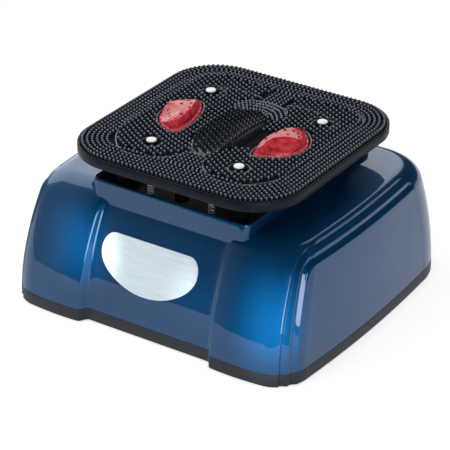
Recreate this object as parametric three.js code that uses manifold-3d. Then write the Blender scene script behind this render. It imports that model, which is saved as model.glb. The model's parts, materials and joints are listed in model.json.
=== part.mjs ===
// A foot massage machine: a glossy shell on a dark plinth, and above it a foot plate that a belt-driven
// crank carries round in a small circle. Millimetres, X to the right, Y to the back, Z up, floor at zero.

import * as THREE from "three";
import { mergeVertices } from "three/addons/utils/BufferGeometryUtils.js";
import Module from "manifold-3d";

const wasm = await Module();
wasm.setup();

// Clearances shared by all pieces
const gap = 0.3; // between pieces that touch
const overrun = 20; // how far a cutter runs past what it cuts
const weldDistance = 1e-4; // corners closer than this are one

// Housing, seen from above at the floor
const housingHalfWidth = 231; // at the crown of a side
const sideBulge = 6; // how far a side's crown stands out past its ends
const sideHalfWidth = housingHalfWidth - sideBulge;
const housingHalfDepth = 217.5;
const centreSetback = 13.5; // centre panel behind the columns
const stepMiddle = 101; // from the middle of the front to the step
const stepRun = 14;
const frontCornerWidth = 40; // how far a corner reaches along the front
const columnEnd = sideHalfWidth - frontCornerWidth;
const columnFall = 3; // how far the column's front falls back there
const frontCornerRun = 52.5; // how far a corner reaches along the side
const backCornerRun = 87.5;
const backCornerWidth = 80; // how far it reaches along the back
const frontCornerPlace = housingHalfDepth - frontCornerRun;
const backCornerPlace = housingHalfDepth - backCornerRun;
const backCornerStart = sideHalfWidth - backCornerWidth;
const cornerShare = 0.56; // handle length of a corner's curve over its run

// Housing, seen from the side
const deckHeight = 171;
const shellWall = 3;
const frontFold = 31; // height of the front's turn into the deck
const frontLean = 40.6; // how far the front has leant back below it
const sideFold = 25;
const sideLean = 10.7;
const backFold = 25;
const backLean = 28;
const frontWallTop = deckHeight - frontFold;
const sideWallTop = deckHeight - sideFold;
const backWallTop = deckHeight - backFold;
const wallShares = [0.35, 0.65, 0.85, 1]; // heights of the rings up the walls
const foldRings = 4;

// Raised collar round the well, on top of the deck
const collarHalfWidth = 125;
const collarSetback = 62.5; // from the housing's foot at the front and the back
const collarHalfDepth = housingHalfDepth - collarSetback;
const collarCorner = 14;
const collarRise = 15;
const collarTop = deckHeight + collarRise;
const collarDepth = 71; // how far its block reaches down inside the shell
const collarRoot = deckHeight - collarDepth;
const collarWall = 3;
const collarEdge = 1.5;

// Plinth
const plinthBottom = 1.5;
const plinthTop = 19;
const panFloor = 4.5;
const panWall = 3.2;
const footInsetX = 51;
const footInsetY = 52.5;
const footPlaceX = housingHalfWidth - footInsetX;
const footPlaceY = housingHalfDepth - footInsetY;
const footRadius = 13;
const footHeight = 3.2;
const screwInsetX = 61;
const screwInsetY = 107.5;
const screwPlaceX = housingHalfWidth - screwInsetX;
const screwPlaceY = housingHalfDepth - screwInsetY;
const screwHeadRadius = 4.5;
const screwHeadHeight = 2.5;
const screwRadius = 2;
const screwLength = 15;
const screwPostRadius = 6;

// Bare plate on the centre panel
const badgeMiddle = -10;
const badgeHalfWidth = 75.5;
const badgeFlatHalf = 57; // half of its straight top edge
const badgeDrop = 43; // from the deck down to its top edge
const badgeShoulder = 22; // from its top edge down to where it is widest
const badgeTopHandle = 12; // handles of its shoulders' curves
const badgeSideHandle = 13;
const badgeBowlShare = 0.5; // handle length of its lower curves over their reach
const badgeHeight = 68;
const badgeTop = deckHeight - badgeDrop;
const badgeWidest = badgeTop - badgeShoulder;
const badgeBottom = badgeTop - badgeHeight;
const badgeThickness = 1.2;

// Well tray inside the collar
const trayDrop = 11; // from the deck down to its underside
const trayBottom = deckHeight - trayDrop;
const trayFloor = 3;
const trayWall = 2.5;
const trayStep = 1.5; // its rim below the collar's
const trayTop = collarTop - trayStep;
const legInset = 25; // from the collar's sides
const legSetback = 50; // from its front and back
const legPlaceX = collarHalfWidth - legInset;
const legPlaceY = collarHalfDepth - legSetback;
const legRadius = 7;

// Belt drive: the motor stands beside the main bearing
const bearingOuterRadius = 20;
const bearingHousingWall = 7;
const bearingFlange = 9; // how far it stands out past the wall
const bearingFlangeRadius = bearingOuterRadius + bearingHousingWall + bearingFlange;
const bearingFlangeThickness = 6;
const motorRadius = 42;
const motorClearance = 10; // between the motor and the bearing's flange
const motorPlaceX = -(bearingFlangeRadius + motorClearance + motorRadius);
const motorHeadroom = 7; // below the counterweight
const motorShaftRadius = 5;
const drivenPulleyRadius = 50;
const motorPulleyRadius = 15;
const pulleyHeight = 12;
const pulleyRim = 3; // how far a rim stands over the belt's track
const pulleyRimThickness = 1.4;
const pulleyWeb = 5; // thickness of the driven pulley's web
const pulleyHubRadius = 16;
const pulleyRing = 7; // radial thickness of the driven pulley's outer ring
const beltThickness = 2.4;
const nutRadius = 12;
const nutHeight = 8;
const nutSides = 6;

// Chassis plate on the pan's pillars
const chassisShare = 0.351; // of the deck's height
const chassisHeight = deckHeight * chassisShare;
const chassisThickness = 3;
const chassisTop = chassisHeight + chassisThickness;
const chassisMargin = 15; // past the motor and the tray's legs
const chassisHalfWidth = motorRadius - motorPlaceX + chassisMargin;
const chassisHalfDepth = legPlaceY + chassisMargin;
const chassisCorner = 12;
const pillarInset = 20;
const pillarPlaceX = chassisHalfWidth - pillarInset;
const pillarPlaceY = chassisHalfDepth - pillarInset;
const pillarRadius = 7;
const pulleyDrop = 26; // from the chassis plate down to the pulleys' undersides
const pulleyBottom = chassisHeight - pulleyDrop;

// Crank, from the nut below the pulley up to the pin in the plate's hub
const crankThrow = 2; // radius of the plate's circle
const shaftRadius = 8.5;
const shaftEnd = 3.7; // past the nut
const shaftBottom = pulleyBottom - gap - nutHeight - shaftEnd;
const bearingWidth = 12;
const bearingRise = 7; // from the chassis plate up to the lower bearing
const bearingCover = 6; // how far the housing reaches past the upper bearing
const bearingLip = 4; // how far a seat's shoulder stands in from the bearing's rim
const crankDrop = 16; // from the tray's underside down to the crank's disc
const crankDiscGap = 6;
const crankDiscThickness = 8;
const crankDiscRadius = 30;
const crankDiscTop = trayBottom - crankDrop;
const crankDiscBottom = crankDiscTop - crankDiscThickness;
const bearingHousingTop = crankDiscBottom - crankDiscGap;
const upperBearingBottom = bearingHousingTop - bearingCover - bearingWidth;
const lowerBearingBottom = chassisTop + bearingRise;
const weightInnerRadius = 14;
const weightOuterRadius = 52;
const weightThickness = 9;
const pinRadius = 7.5;
const pinShoulder = 14; // from the crank's disc up to the bearing on its pin
const pinBearingWidth = 11;
const pinBearingRadius = 17.5;
const pinEnd = 3; // past the bearing
const pinBearingBottom = crankDiscTop + pinShoulder;
const pinTop = pinBearingBottom + pinBearingWidth + pinEnd;
const trayHoleGap = 10; // round the counterweight
const trayHoleRadius = weightOuterRadius + trayHoleGap;

// Foot plate, above the collar
const plateGap = 27;
const plateBottom = collarTop + plateGap;
const plateHeight = 13.7;
const plateTop = plateBottom + plateHeight;
const plateHalfWidth = 170;
const plateHalfDepth = 172.3;
const plateCorner = 74;
const plateRim = 3.5; // width of the lip round the mat
const plateEdge = 1.5;
const plateSkirt = 5; // how far the rim reaches below the skin
const plateSkin = 4;
const plateSkinBottom = plateBottom + plateSkirt;
const plateSkinTop = plateSkinBottom + plateSkin;
const plateRibThickness = 2.5;
const plateRibStep = 1.5; // a rib's edge above the rim's
const plateRibInsetX = 52;
const plateRibInsetY = 74.3;
const hubFlangeRadius = 60;
const hubFlangeThickness = 6;
const hubRadius = 26;
const hubSkirt = 3; // how far the hub reaches below its bearing
const hubHeadroom = 5; // above the pin's end

// Support springs between the tray and the foot plate
const springPlaceX = 48;
const springSetback = 31; // from the collar's front and back
const springPlaceY = collarHalfDepth - springSetback;
const springRadius = 3.9; // to the middle of the wire
const wireRadius = 0.8;
const springSeatHeight = 9.6; // its foot above the tray's underside
const springSeatTop = trayBottom + springSeatHeight;
const springSeatRadius = 8;
const springPadHeight = 12;
const springPadBottom = plateSkinBottom - springPadHeight;
const springPadRadius = 8;
const springCurls = 7;
const curlSteps = 8;
const wireSides = 5;

// Rubber buffers under the foot plate
const bufferInset = 31; // from the collar's sides
const bufferPlaceX = collarHalfWidth - bufferInset;
const bufferRadius = 9.5;
const bufferBossHeight = 18;
const bufferLength = 25;
const bufferBossBottom = plateSkinBottom - bufferBossHeight;
const bufferBottom = bufferBossBottom - bufferLength;
const bufferEdge = 2;

// Massage mat
const matStep = 0.3; // its face below the plate's lip
const matTop = plateTop - matStep;
const nubRootRadius = 3.2;
const nubTipRadius = 1.6;
const nubHeight = 5;
const nubSink = 0.4;
const spikeSink = 2;
const nubSides = 4;
const borderRows = [7, 21]; // distance of the coarse border rows from the mat's edge
const borderPitch = 24;
const fieldPitch = 25;
const fieldInset = 33;
const humpHalfWidth = 38;
const humpHalfDepth = 78;
const humpHeight = 9;
const humpMiddleY = -12;
const humpRings = 4;
const spikeHeight = 9;

// Half-moon domes, as seen from above on the right side
const domeFrontX = 63;
const domeFrontY = -55;
const domeBackX = 84;
const domeBackY = 43;
const domeBulgeX = 95; // handles of the outer arc
const domeBulgeFrontY = -68;
const domeBulgeBackX = 148;
const domeBulgeBackY = 3;
const domeInnerX = 52; // handles of the inner side
const domeInnerFrontY = -40;
const domeInnerBackX = 76;
const domeInnerBackY = 26;
const domeCrestX = 78;
const domeCrestY = -8;
const domeHeight = 19;
const domeWall = 2.4;
const domeRings = 5;
const domeSteps = 6;
const lampBoardThickness = 1.6;
const lampPlaceX = 88;
const lampPlaceY = -10; // the middle one of three
const lampPitch = 26;
const lampRadius = 2.5;
const lampHeight = 4;

// White caps
const capFrontX = 69;
const capFrontY = -94;
const capBackX = 90;
const capBackY = 77;
const capRadius = 7;
const capHeight = 2.8;
const capSeatRise = 4.6; // from the mat's face up to a cap's underside
const capSeatHeight = matTop + capSeatRise;
const capPostRadius = 10;
const capStemRadius = 3;
const capStemReach = 2; // past the plate's skin
const capStemBottom = plateSkinBottom - capStemReach;

// Recessed panel in the back wall
const panelHalfWidth = 70;
const panelHalfHeight = 34;
const panelMiddle = 70; // height of its middle above the floor
const panelRecess = 16.5; // from the housing's foot in to its face
const panelFace = housingHalfDepth - panelRecess;
const panelThickness = 3;
const panelBack = panelFace - panelThickness;
const panelWall = 2.5;

// Mains inlet
const inletPlaceX = 45;
const inletHalfWidth = 13.3;
const inletHalfHeight = 9.5;
const inletFlange = 2.3; // how far the flange stands out round the body
const inletFlangeThickness = 2;
const inletWall = 1.3;
const inletDepth = 22;
const inletBackWall = 3;
const inletPinSpread = 7;
const inletPinHeight = 4;
const inletPinWidth = 2;
const inletPinDrop = 1;
const inletPinStep = 4;
const inletPinLength = 20;
const inletPinSetback = 5;

// Power rocker
const rockerPlaceX = 16;
const rockerHalfWidth = 9;
const rockerReach = 8.4; // from the pivot to the rocker's corners
const rockerWaist = 3.2; // from the pivot to the notch between its two faces
const rockerFaceShare = 0.6; // how far forward the corners lie, over their reach
const rockerBackShare = 0.45;
const rockerSetback = 2.6; // its pivot behind the panel's face
const rockerPivot = panelFace - rockerSetback;
const rockerTilt = THREE.MathUtils.degToRad(-7);
const bezelWall = 2;
const bezelFlange = 1.6;
const bezelFlangeThickness = 1.8;
const bezelDepth = 15;

// Fuse holder
const fusePlaceX = -8;
const fuseHeadRadius = 6.8;
const fuseHeadHeight = 4;
const fuseBodyRadius = 5.2;
const fuseBodyLength = 30;
const fuseSlotWidth = 1.6;
const fuseSlotDepth = 1.8;

// Push buttons
const buttonPlaceX = -28;
const buttonPitch = 15;
const buttonPlaces = {
  start: buttonPlaceX,
  faster: buttonPlaceX - buttonPitch,
  slower: buttonPlaceX - 2 * buttonPitch,
};
const buttonRadius = 5.5;
const buttonReach = 4; // how far a button stands out of the panel
const buttonEdge = 0.8;
const buttonFlangeRadius = 6.8;
const buttonFlangeThickness = 1.5;
const buttonTravel = 1.5;

// Control board behind the buttons
const boardHalfWidth = 30;
const boardHalfHeight = 24;
const boardMiddleX = buttonPlaces.faster;
const boardSetback = 13; // its face behind the panel's
const boardFace = panelFace - boardSetback;
const boardThickness = 1.6;
const boardPostRadius = 3;
const boardPostSpreadX = 25;
const boardPostSpreadZ = 18;
const relayWidth = 18;
const relayHeight = 14;
const relayDepth = 15;
const relayDrop = 10;
const tactHalfWidth = 3;

// How finely round shapes are cut
const roundSides = 20;
const smallSides = 10;
const outlineSteps = 5; // per stretch of the housing's outline
const cornerSteps = 3; // half the steps of a rounded corner
const archSteps = 8;

// Geometry helpers

function solidOf(geometry) {
  const bare = new THREE.BufferGeometry();
  bare.setAttribute("position", geometry.getAttribute("position"));
  if (geometry.index) bare.setIndex(geometry.index);
  const merged = mergeVertices(bare, weldDistance);
  const triVerts = [];
  for (let i = 0; i < merged.index.count; i += 3) {
    const [a, b, c] = merged.index.array.slice(i, i + 3);
    if (a !== b && b !== c && c !== a) triVerts.push(a, b, c);
  }
  return new wasm.Manifold(
    new wasm.Mesh({
      numProp: 3,
      vertProperties: merged.attributes.position.array,
      triVerts: new Uint32Array(triVerts),
    }),
  );
}

function geometryOf(solid) {
  const { numProp, vertProperties, triVerts } = solid.getMesh();
  const positions = new Float32Array(triVerts.length * 3);
  triVerts.forEach((vertex, i) => {
    positions.set(vertProperties.subarray(vertex * numProp, vertex * numProp + 3), i * 3);
  });
  const geometry = new THREE.BufferGeometry();
  geometry.setAttribute("position", new THREE.BufferAttribute(positions, 3));
  geometry.computeVertexNormals();
  return geometry;
}

const joined = (...solids) => solids.reduce((whole, solid) => whole.add(solid));
const without = (solid, ...cutters) => cutters.reduce((rest, cutter) => rest.subtract(cutter), solid);

// A box between two heights, by its middle and its half sizes.
function block(halfX, halfY, bottom, top, x = 0, y = 0) {
  const geometry = new THREE.BoxGeometry(2 * halfX, 2 * halfY, top - bottom);
  return solidOf(geometry.translate(x, y, (bottom + top) / 2));
}

function cylinder(radius, bottom, top, x = 0, y = 0, sides = roundSides) {
  const geometry = new THREE.CylinderGeometry(radius, radius, top - bottom, sides);
  return solidOf(geometry.rotateX(Math.PI / 2).translate(x, y, (bottom + top) / 2));
}

// The corner radius that a round hole needs, so that its flats clear a round piece.
const clearRadius = (radius, sides = roundSides) => (radius + gap) / Math.cos(Math.PI / sides);

// A solid of revolution about Z from a closed profile of [radius, height] points.
function turned(profile, x = 0, y = 0, sides = roundSides) {
  const points = profile.map(([radius, height]) => new THREE.Vector2(radius, height));
  if (profile[0][0] > 0) points.push(points[0].clone());
  const geometry = new THREE.LatheGeometry(points, sides);
  return solidOf(geometry.rotateX(Math.PI / 2).translate(x, y, 0));
}

// A straight prism of a shape or a list of points, between two heights.
function prism(outline, bottom, top) {
  const shape = Array.isArray(outline) ? new THREE.Shape(outline) : outline;
  const options = { depth: top - bottom, bevelEnabled: false, curveSegments: archSteps };
  return solidOf(new THREE.ExtrudeGeometry(shape, options).translate(0, 0, bottom));
}

// A solid through a stack of rings with equal counts of points, lowest first, each running
// counter-clockwise when seen from above.
function loft(rings) {
  const count = rings[0].length;
  const positions = rings.flat().flatMap((point) => [point.x, point.y, point.z]);
  const index = [];
  for (let level = 0; level + 1 < rings.length; level++) {
    for (let i = 0; i < count; i++) {
      const a = level * count + i;
      const b = level * count + ((i + 1) % count);
      index.push(a, b, b + count, a, b + count, a + count);
    }
  }
  const flat = (ring) => ring.map((point) => new THREE.Vector2(point.x, point.y));
  const last = (rings.length - 1) * count;
  for (const [a, b, c] of THREE.ShapeUtils.triangulateShape(flat(rings[0]), [])) index.push(c, b, a);
  for (const [a, b, c] of THREE.ShapeUtils.triangulateShape(flat(rings.at(-1)), [])) {
    index.push(last + a, last + b, last + c);
  }
  const geometry = new THREE.BufferGeometry();
  geometry.setAttribute("position", new THREE.Float32BufferAttribute(positions, 3));
  geometry.setIndex(index);
  return solidOf(geometry);
}

// A closed outline moved inwards by a distance, or outwards by a negative one.
function insetOutline(points, distance) {
  const count = points.length;
  return points.map((point, i) => {
    const before = point.clone().sub(points[(i + count - 1) % count]).normalize();
    const after = points[(i + 1) % count].clone().sub(point).normalize();
    const along = before.add(after).normalize();
    return new THREE.Vector2(point.x - along.y * distance, point.y + along.x * distance);
  });
}

// A rounded rectangle as a counter-clockwise outline, drawn in by an inset.
function roundedOutline(halfX, halfY, corner, inset = 0) {
  const radius = corner - inset;
  const shape = new THREE.Shape();
  const [x, y] = [halfX - corner, halfY - corner];
  shape.absarc(x, -y, radius, -Math.PI / 2, 0);
  shape.absarc(x, y, radius, 0, Math.PI / 2);
  shape.absarc(-x, y, radius, Math.PI / 2, Math.PI);
  shape.absarc(-x, -y, radius, Math.PI, 1.5 * Math.PI);
  const points = shape.getPoints(cornerSteps);
  return points.filter((point, i) => i === 0 || point.distanceTo(points[i - 1]) > gap);
}

const atHeight = (points, z) => points.map((point) => new THREE.Vector3(point.x, point.y, z));

// Housing form

// Half of the housing's outline at the floor, from the middle of the front to the middle of the back.
function halfOutline() {
  const centreY = -(housingHalfDepth - centreSetback);
  const columnY = -(housingHalfDepth - columnFall / 2);
  const endY = -(housingHalfDepth - columnFall);
  const crownX = 2 * housingHalfWidth - sideHalfWidth;
  const path = new THREE.Path();
  path.moveTo(0, centreY);
  path.lineTo(stepMiddle - stepRun / 2, centreY);
  path.bezierCurveTo(stepMiddle, centreY, stepMiddle, columnY, stepMiddle + stepRun / 2, columnY);
  path.quadraticCurveTo((stepMiddle + columnEnd) / 2, -(housingHalfDepth + columnFall / 2), columnEnd, endY);
  path.bezierCurveTo(
    columnEnd + cornerShare * (sideHalfWidth - columnEnd),
    endY + columnFall,
    sideHalfWidth,
    endY + (1 - cornerShare) * (housingHalfDepth - frontCornerPlace),
    sideHalfWidth,
    -frontCornerPlace,
  );
  path.quadraticCurveTo(crownX, (backCornerPlace - frontCornerPlace) / 2, sideHalfWidth, backCornerPlace);
  path.bezierCurveTo(
    sideHalfWidth,
    backCornerPlace + cornerShare * (housingHalfDepth - backCornerPlace),
    backCornerStart + cornerShare * (sideHalfWidth - backCornerStart),
    housingHalfDepth,
    backCornerStart,
    housingHalfDepth,
  );
  path.lineTo(0, housingHalfDepth);
  return path.getPoints(outlineSteps);
}

function housingOutline() {
  const right = halfOutline();
  const left = right.slice(1, -1).reverse();
  return [...right, ...left.map((point) => new THREE.Vector2(-point.x, point.y))];
}

// How far a wall has drawn in at a height: a parabola up to wallTop, then an arc that ends level at the top.
function drawnIn(height, wallTop, lean, top) {
  if (height <= wallTop) return lean * (height / wallTop) ** 2;
  const start = Math.atan((2 * lean) / wallTop);
  const radius = (top - wallTop) / (1 - Math.sin(start));
  const angle = Math.asin(Math.min(1, Math.sin(start) + (height - wallTop) / radius));
  return lean + radius * (Math.cos(start) - Math.cos(angle));
}

// The housing's outline at a height, on a body whose deck lies at top.
function housingRing(outline, height, top) {
  const side = drawnIn(height, sideWallTop, sideLean, top);
  const front = drawnIn(height, frontWallTop, frontLean, top);
  const back = drawnIn(height, backWallTop, backLean, top);
  return outline.map(({ x, y }) => {
    const narrowing = (side / housingHalfWidth) * (x / housingHalfWidth) ** 2;
    const shortening = (y < 0 ? front : back) / housingHalfDepth;
    return new THREE.Vector3(x * (1 - narrowing), y * (1 - shortening), height);
  });
}

// The housing's body between a bottom and a deck height, drawn in by an inset all round.
function housingBody(bottom, top, inset) {
  const outline = insetOutline(housingOutline(), inset);
  const heights = [bottom, ...wallShares.map((share) => share * frontWallTop)];
  for (let i = 1; i <= foldRings; i++) {
    heights.push(frontWallTop + (top - frontWallTop) * Math.sin((i / foldRings) * (Math.PI / 2)));
  }
  return loft(heights.map((height) => housingRing(outline, height, top)));
}

const collarOutline = (inset) => roundedOutline(collarHalfWidth, collarHalfDepth, collarCorner, inset);

const panelOpening = (inset) =>
  block(
    panelHalfWidth - inset,
    panelRecess + overrun,
    panelMiddle - panelHalfHeight + inset,
    panelMiddle + panelHalfHeight - inset,
    0,
    housingHalfDepth,
  );

function housingShell() {
  const bottom = plinthTop + gap;
  const collar = loft([
    atHeight(collarOutline(0), collarRoot),
    atHeight(collarOutline(0), collarTop - collarEdge),
    atHeight(collarOutline(collarEdge), collarTop),
  ]);
  const well = prism(collarOutline(collarWall), collarRoot - overrun, collarTop + overrun);
  const outside = joined(housingBody(bottom, deckHeight, 0), collar);
  const inside = housingBody(bottom - overrun, deckHeight - shellWall, shellWall);
  let shell = without(outside, inside, well, panelOpening(0));
  for (const [x, y] of corners(screwPlaceX, screwPlaceY)) {
    const top = deckHeight - shellWall / 2;
    const post = cylinder(screwPostRadius, plinthBottom + panFloor + gap, top, x, y, smallSides);
    const bore = cylinder(clearRadius(screwRadius, smallSides), 0, plinthTop + gap, x, y, smallSides);
    shell = without(joined(shell, post), bore);
  }
  return shell;
}

const corners = (x, y) => [
  [-x, -y],
  [x, -y],
  [x, y],
  [-x, y],
];
const cornerNames = ["front_left", "front_right", "back_right", "back_left"];

// Plinth

function basePan() {
  const outline = housingOutline();
  const inner = insetOutline(outline, panWall);
  const rings = (points, bottom, top) => [
    housingRing(points, bottom, deckHeight),
    housingRing(points, top, deckHeight),
  ];
  const floorTop = plinthBottom + panFloor;
  let pan = without(
    loft(rings(outline, plinthBottom, plinthTop)),
    loft(rings(inner, floorTop, plinthTop + overrun)),
  );
  for (const [x, y] of corners(pillarPlaceX, pillarPlaceY)) {
    pan = pan.add(cylinder(pillarRadius, floorTop - gap, chassisHeight - gap, x, y, smallSides));
  }
  for (const [x, y] of corners(footPlaceX, footPlaceY)) {
    pan = pan.subtract(cylinder(clearRadius(footRadius), 0, footHeight + gap, x, y));
  }
  for (const [x, y] of corners(screwPlaceX, screwPlaceY)) {
    const head = clearRadius(screwHeadRadius, smallSides);
    const seat = plinthBottom + screwHeadHeight + gap;
    pan = without(
      pan,
      cylinder(head, 0, seat, x, y, smallSides),
      cylinder(clearRadius(screwRadius, smallSides), 0, plinthTop, x, y, smallSides),
    );
  }
  return pan;
}

const rubberFoot = ([x, y]) => cylinder(footRadius, 0, footHeight, x, y);

const baseScrew = ([x, y]) =>
  joined(
    cylinder(screwHeadRadius, plinthBottom, plinthBottom + screwHeadHeight, x, y, smallSides),
    cylinder(screwRadius, plinthBottom, plinthBottom + screwLength, x, y, smallSides),
  );

// Bare plate on the centre panel: a layer that follows the panel, cut to its outline.
function frontBadge() {
  const shape = new THREE.Shape();
  const [flat, wide] = [badgeFlatHalf, badgeHalfWidth];
  const [shoulderX, shoulderZ] = [flat + badgeTopHandle, badgeWidest + badgeSideHandle];
  const bowlX = badgeBowlShare * wide;
  const bowlZ = THREE.MathUtils.lerp(badgeWidest, badgeBottom, badgeBowlShare);
  shape.moveTo(flat, badgeTop);
  shape.lineTo(-flat, badgeTop);
  shape.bezierCurveTo(-shoulderX, badgeTop, -wide, shoulderZ, -wide, badgeWidest);
  shape.bezierCurveTo(-wide, bowlZ, -bowlX, badgeBottom, 0, badgeBottom);
  shape.bezierCurveTo(bowlX, badgeBottom, wide, bowlZ, wide, badgeWidest);
  shape.bezierCurveTo(wide, shoulderZ, shoulderX, badgeTop, flat, badgeTop);
  const cutter = new THREE.ExtrudeGeometry(shape, { depth: housingHalfDepth, bevelEnabled: false });
  cutter.rotateX(Math.PI / 2).translate(badgeMiddle, 0, 0);
  const outside = housingBody(plinthTop, deckHeight, -gap - badgeThickness);
  const inside = housingBody(0, deckHeight, -gap);
  return solidOf(cutter).intersect(outside).subtract(inside);
}

// Chassis, bearings and crank

function chassisPlate() {
  const outline = roundedOutline(chassisHalfWidth, chassisHalfDepth, chassisCorner);
  const past = [chassisHeight - overrun, chassisTop + overrun];
  return without(
    prism(outline, chassisHeight, chassisTop),
    cylinder(shaftRadius + bearingLip, ...past),
    cylinder(motorShaftRadius + bearingLip, ...past, motorPlaceX, 0, smallSides),
  );
}

const mainBearing = (bottom) =>
  turned([
    [clearRadius(shaftRadius), bottom],
    [bearingOuterRadius, bottom],
    [bearingOuterRadius, bottom + bearingWidth],
    [clearRadius(shaftRadius), bottom + bearingWidth],
  ]);

function bearingHousing() {
  const seat = clearRadius(bearingOuterRadius);
  const shoulder = bearingOuterRadius - bearingLip;
  const barrel = bearingOuterRadius + bearingHousingWall;
  const bottom = chassisTop + gap;
  const lowerSeat = lowerBearingBottom - gap;
  const lowerEnd = lowerBearingBottom + bearingWidth + gap;
  const upperSeat = upperBearingBottom - gap;
  return turned([
    [shoulder, bottom],
    [bearingFlangeRadius, bottom],
    [bearingFlangeRadius, bottom + bearingFlangeThickness],
    [barrel, bottom + bearingFlangeThickness],
    [barrel, bearingHousingTop],
    [seat, bearingHousingTop],
    [seat, upperSeat],
    [shoulder, upperSeat],
    [shoulder, lowerEnd],
    [seat, lowerEnd],
    [seat, lowerSeat],
    [shoulder, lowerSeat],
  ]);
}

function crankShaft() {
  const disc = crankDiscRadius;
  return joined(
    turned([
      [0, shaftBottom],
      [shaftRadius, shaftBottom],
      [shaftRadius, crankDiscBottom],
      [disc, crankDiscBottom],
      [disc, crankDiscTop],
      [0, crankDiscTop],
    ]),
    cylinder(pinRadius, crankDiscTop - gap, pinTop, crankThrow, 0),
  );
}

// Half a ring on the side away from the pin.
function counterweight() {
  const bottom = crankDiscTop + gap;
  const shape = new THREE.Shape();
  shape.absarc(0, 0, weightOuterRadius, Math.PI / 2, 1.5 * Math.PI);
  shape.absarc(0, 0, weightInnerRadius, 1.5 * Math.PI, Math.PI / 2, true);
  return prism(shape, bottom, bottom + weightThickness);
}

const pinBearing = () =>
  turned([
    [clearRadius(pinRadius), pinBearingBottom],
    [pinBearingRadius, pinBearingBottom],
    [pinBearingRadius, pinBearingBottom + pinBearingWidth],
    [clearRadius(pinRadius), pinBearingBottom + pinBearingWidth],
  ]);

function plateHub() {
  const seat = clearRadius(pinBearingRadius);
  const top = plateSkinBottom - gap;
  const flange = top - hubFlangeThickness;
  const lip = pinBearingRadius - bearingLip;
  const seatTop = pinBearingBottom + pinBearingWidth + gap;
  const ceiling = pinTop + hubHeadroom;
  const bottom = pinBearingBottom - hubSkirt;
  return turned([
    [0, ceiling],
    [lip, ceiling],
    [lip, seatTop],
    [seat, seatTop],
    [seat, bottom],
    [hubRadius, bottom],
    [hubRadius, flange],
    [hubFlangeRadius, flange],
    [hubFlangeRadius, top],
    [0, top],
  ]);
}

// Belt drive

const trackBottom = pulleyBottom + pulleyRimThickness;
const trackTop = pulleyBottom + pulleyHeight - pulleyRimThickness;

function drivenPulley() {
  const bore = clearRadius(shaftRadius);
  const web = (pulleyBottom + pulleyBottom + pulleyHeight - pulleyWeb) / 2;
  const rim = drivenPulleyRadius + pulleyRim;
  const ring = drivenPulleyRadius - pulleyRing;
  const top = pulleyBottom + pulleyHeight;
  return turned([
    [bore, pulleyBottom],
    [pulleyHubRadius, pulleyBottom],
    [pulleyHubRadius, web],
    [ring, web],
    [ring, pulleyBottom],
    [rim, pulleyBottom],
    [rim, trackBottom],
    [drivenPulleyRadius, trackBottom],
    [drivenPulleyRadius, trackTop],
    [rim, trackTop],
    [rim, top],
    [ring, top],
    [ring, web + pulleyWeb],
    [pulleyHubRadius, web + pulleyWeb],
    [pulleyHubRadius, top],
    [bore, top],
  ]);
}

function motorPulley() {
  const bore = clearRadius(motorShaftRadius);
  const rim = motorPulleyRadius + pulleyRim;
  return turned(
    [
      [bore, pulleyBottom],
      [rim, pulleyBottom],
      [rim, trackBottom],
      [motorPulleyRadius, trackBottom],
      [motorPulleyRadius, trackTop],
      [rim, trackTop],
      [rim, pulleyBottom + pulleyHeight],
      [bore, pulleyBottom + pulleyHeight],
    ],
    motorPlaceX,
  );
}

const motorShaft = () =>
  cylinder(motorShaftRadius, pulleyBottom - gap, chassisTop, motorPlaceX, 0);

// The motor's can stands on the chassis plate, with a pocket below for its shaft's end.
function motorBody() {
  const bottom = chassisTop + gap;
  const top = crankDiscTop + gap - motorHeadroom;
  const shoulder = motorRadius - bearingLip;
  return turned(
    [
      [0, bottom + gap],
      [motorShaftRadius, bottom + gap],
      [motorShaftRadius, bottom],
      [motorRadius, bottom],
      [motorRadius, top - bearingLip],
      [shoulder, top],
      [0, top],
    ],
    motorPlaceX,
  );
}

// A loop round both pulleys at a distance from their tracks.
function beltLoop(distance, Path) {
  const driven = clearRadius(drivenPulleyRadius) + distance;
  const motor = clearRadius(motorPulleyRadius) + distance;
  const tilt = Math.asin((driven - motor) / Math.abs(motorPlaceX));
  const loop = new Path();
  loop.absarc(0, 0, driven, -Math.PI / 2 - tilt, Math.PI / 2 + tilt);
  loop.absarc(motorPlaceX, 0, motor, Math.PI / 2 + tilt, 1.5 * Math.PI - tilt);
  loop.closePath();
  return loop;
}

function driveBelt() {
  const shape = beltLoop(gap + beltThickness, THREE.Shape);
  shape.holes.push(beltLoop(gap, THREE.Path));
  return prism(shape, trackBottom + gap, trackTop - gap);
}

function pulleyNut() {
  const top = pulleyBottom - gap;
  return without(
    cylinder(nutRadius, top - nutHeight, top, 0, 0, nutSides),
    cylinder(clearRadius(shaftRadius), 0, top + overrun),
  );
}

// Well tray

function wellTray() {
  const floorTop = trayBottom + trayFloor;
  let tray = without(
    prism(collarOutline(collarWall + gap), trayBottom, trayTop),
    prism(collarOutline(collarWall + gap + trayWall), floorTop, trayTop + overrun),
  );
  for (const [x, y] of corners(springPlaceX, springPlaceY)) {
    tray = tray.add(cylinder(springSeatRadius, trayBottom, springSeatTop - gap, x, y, smallSides));
  }
  for (const [x, y] of corners(legPlaceX, legPlaceY)) {
    tray = tray.add(cylinder(legRadius, chassisTop + gap, floorTop, x, y, smallSides));
  }
  return tray.subtract(cylinder(trayHoleRadius, trayBottom - overrun, trayTop + overrun));
}

// Support spring: one unbroken wire that stands straight for its own width at both ends. It leans by
// the crank's throw, because its top end goes with the plate.

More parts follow.
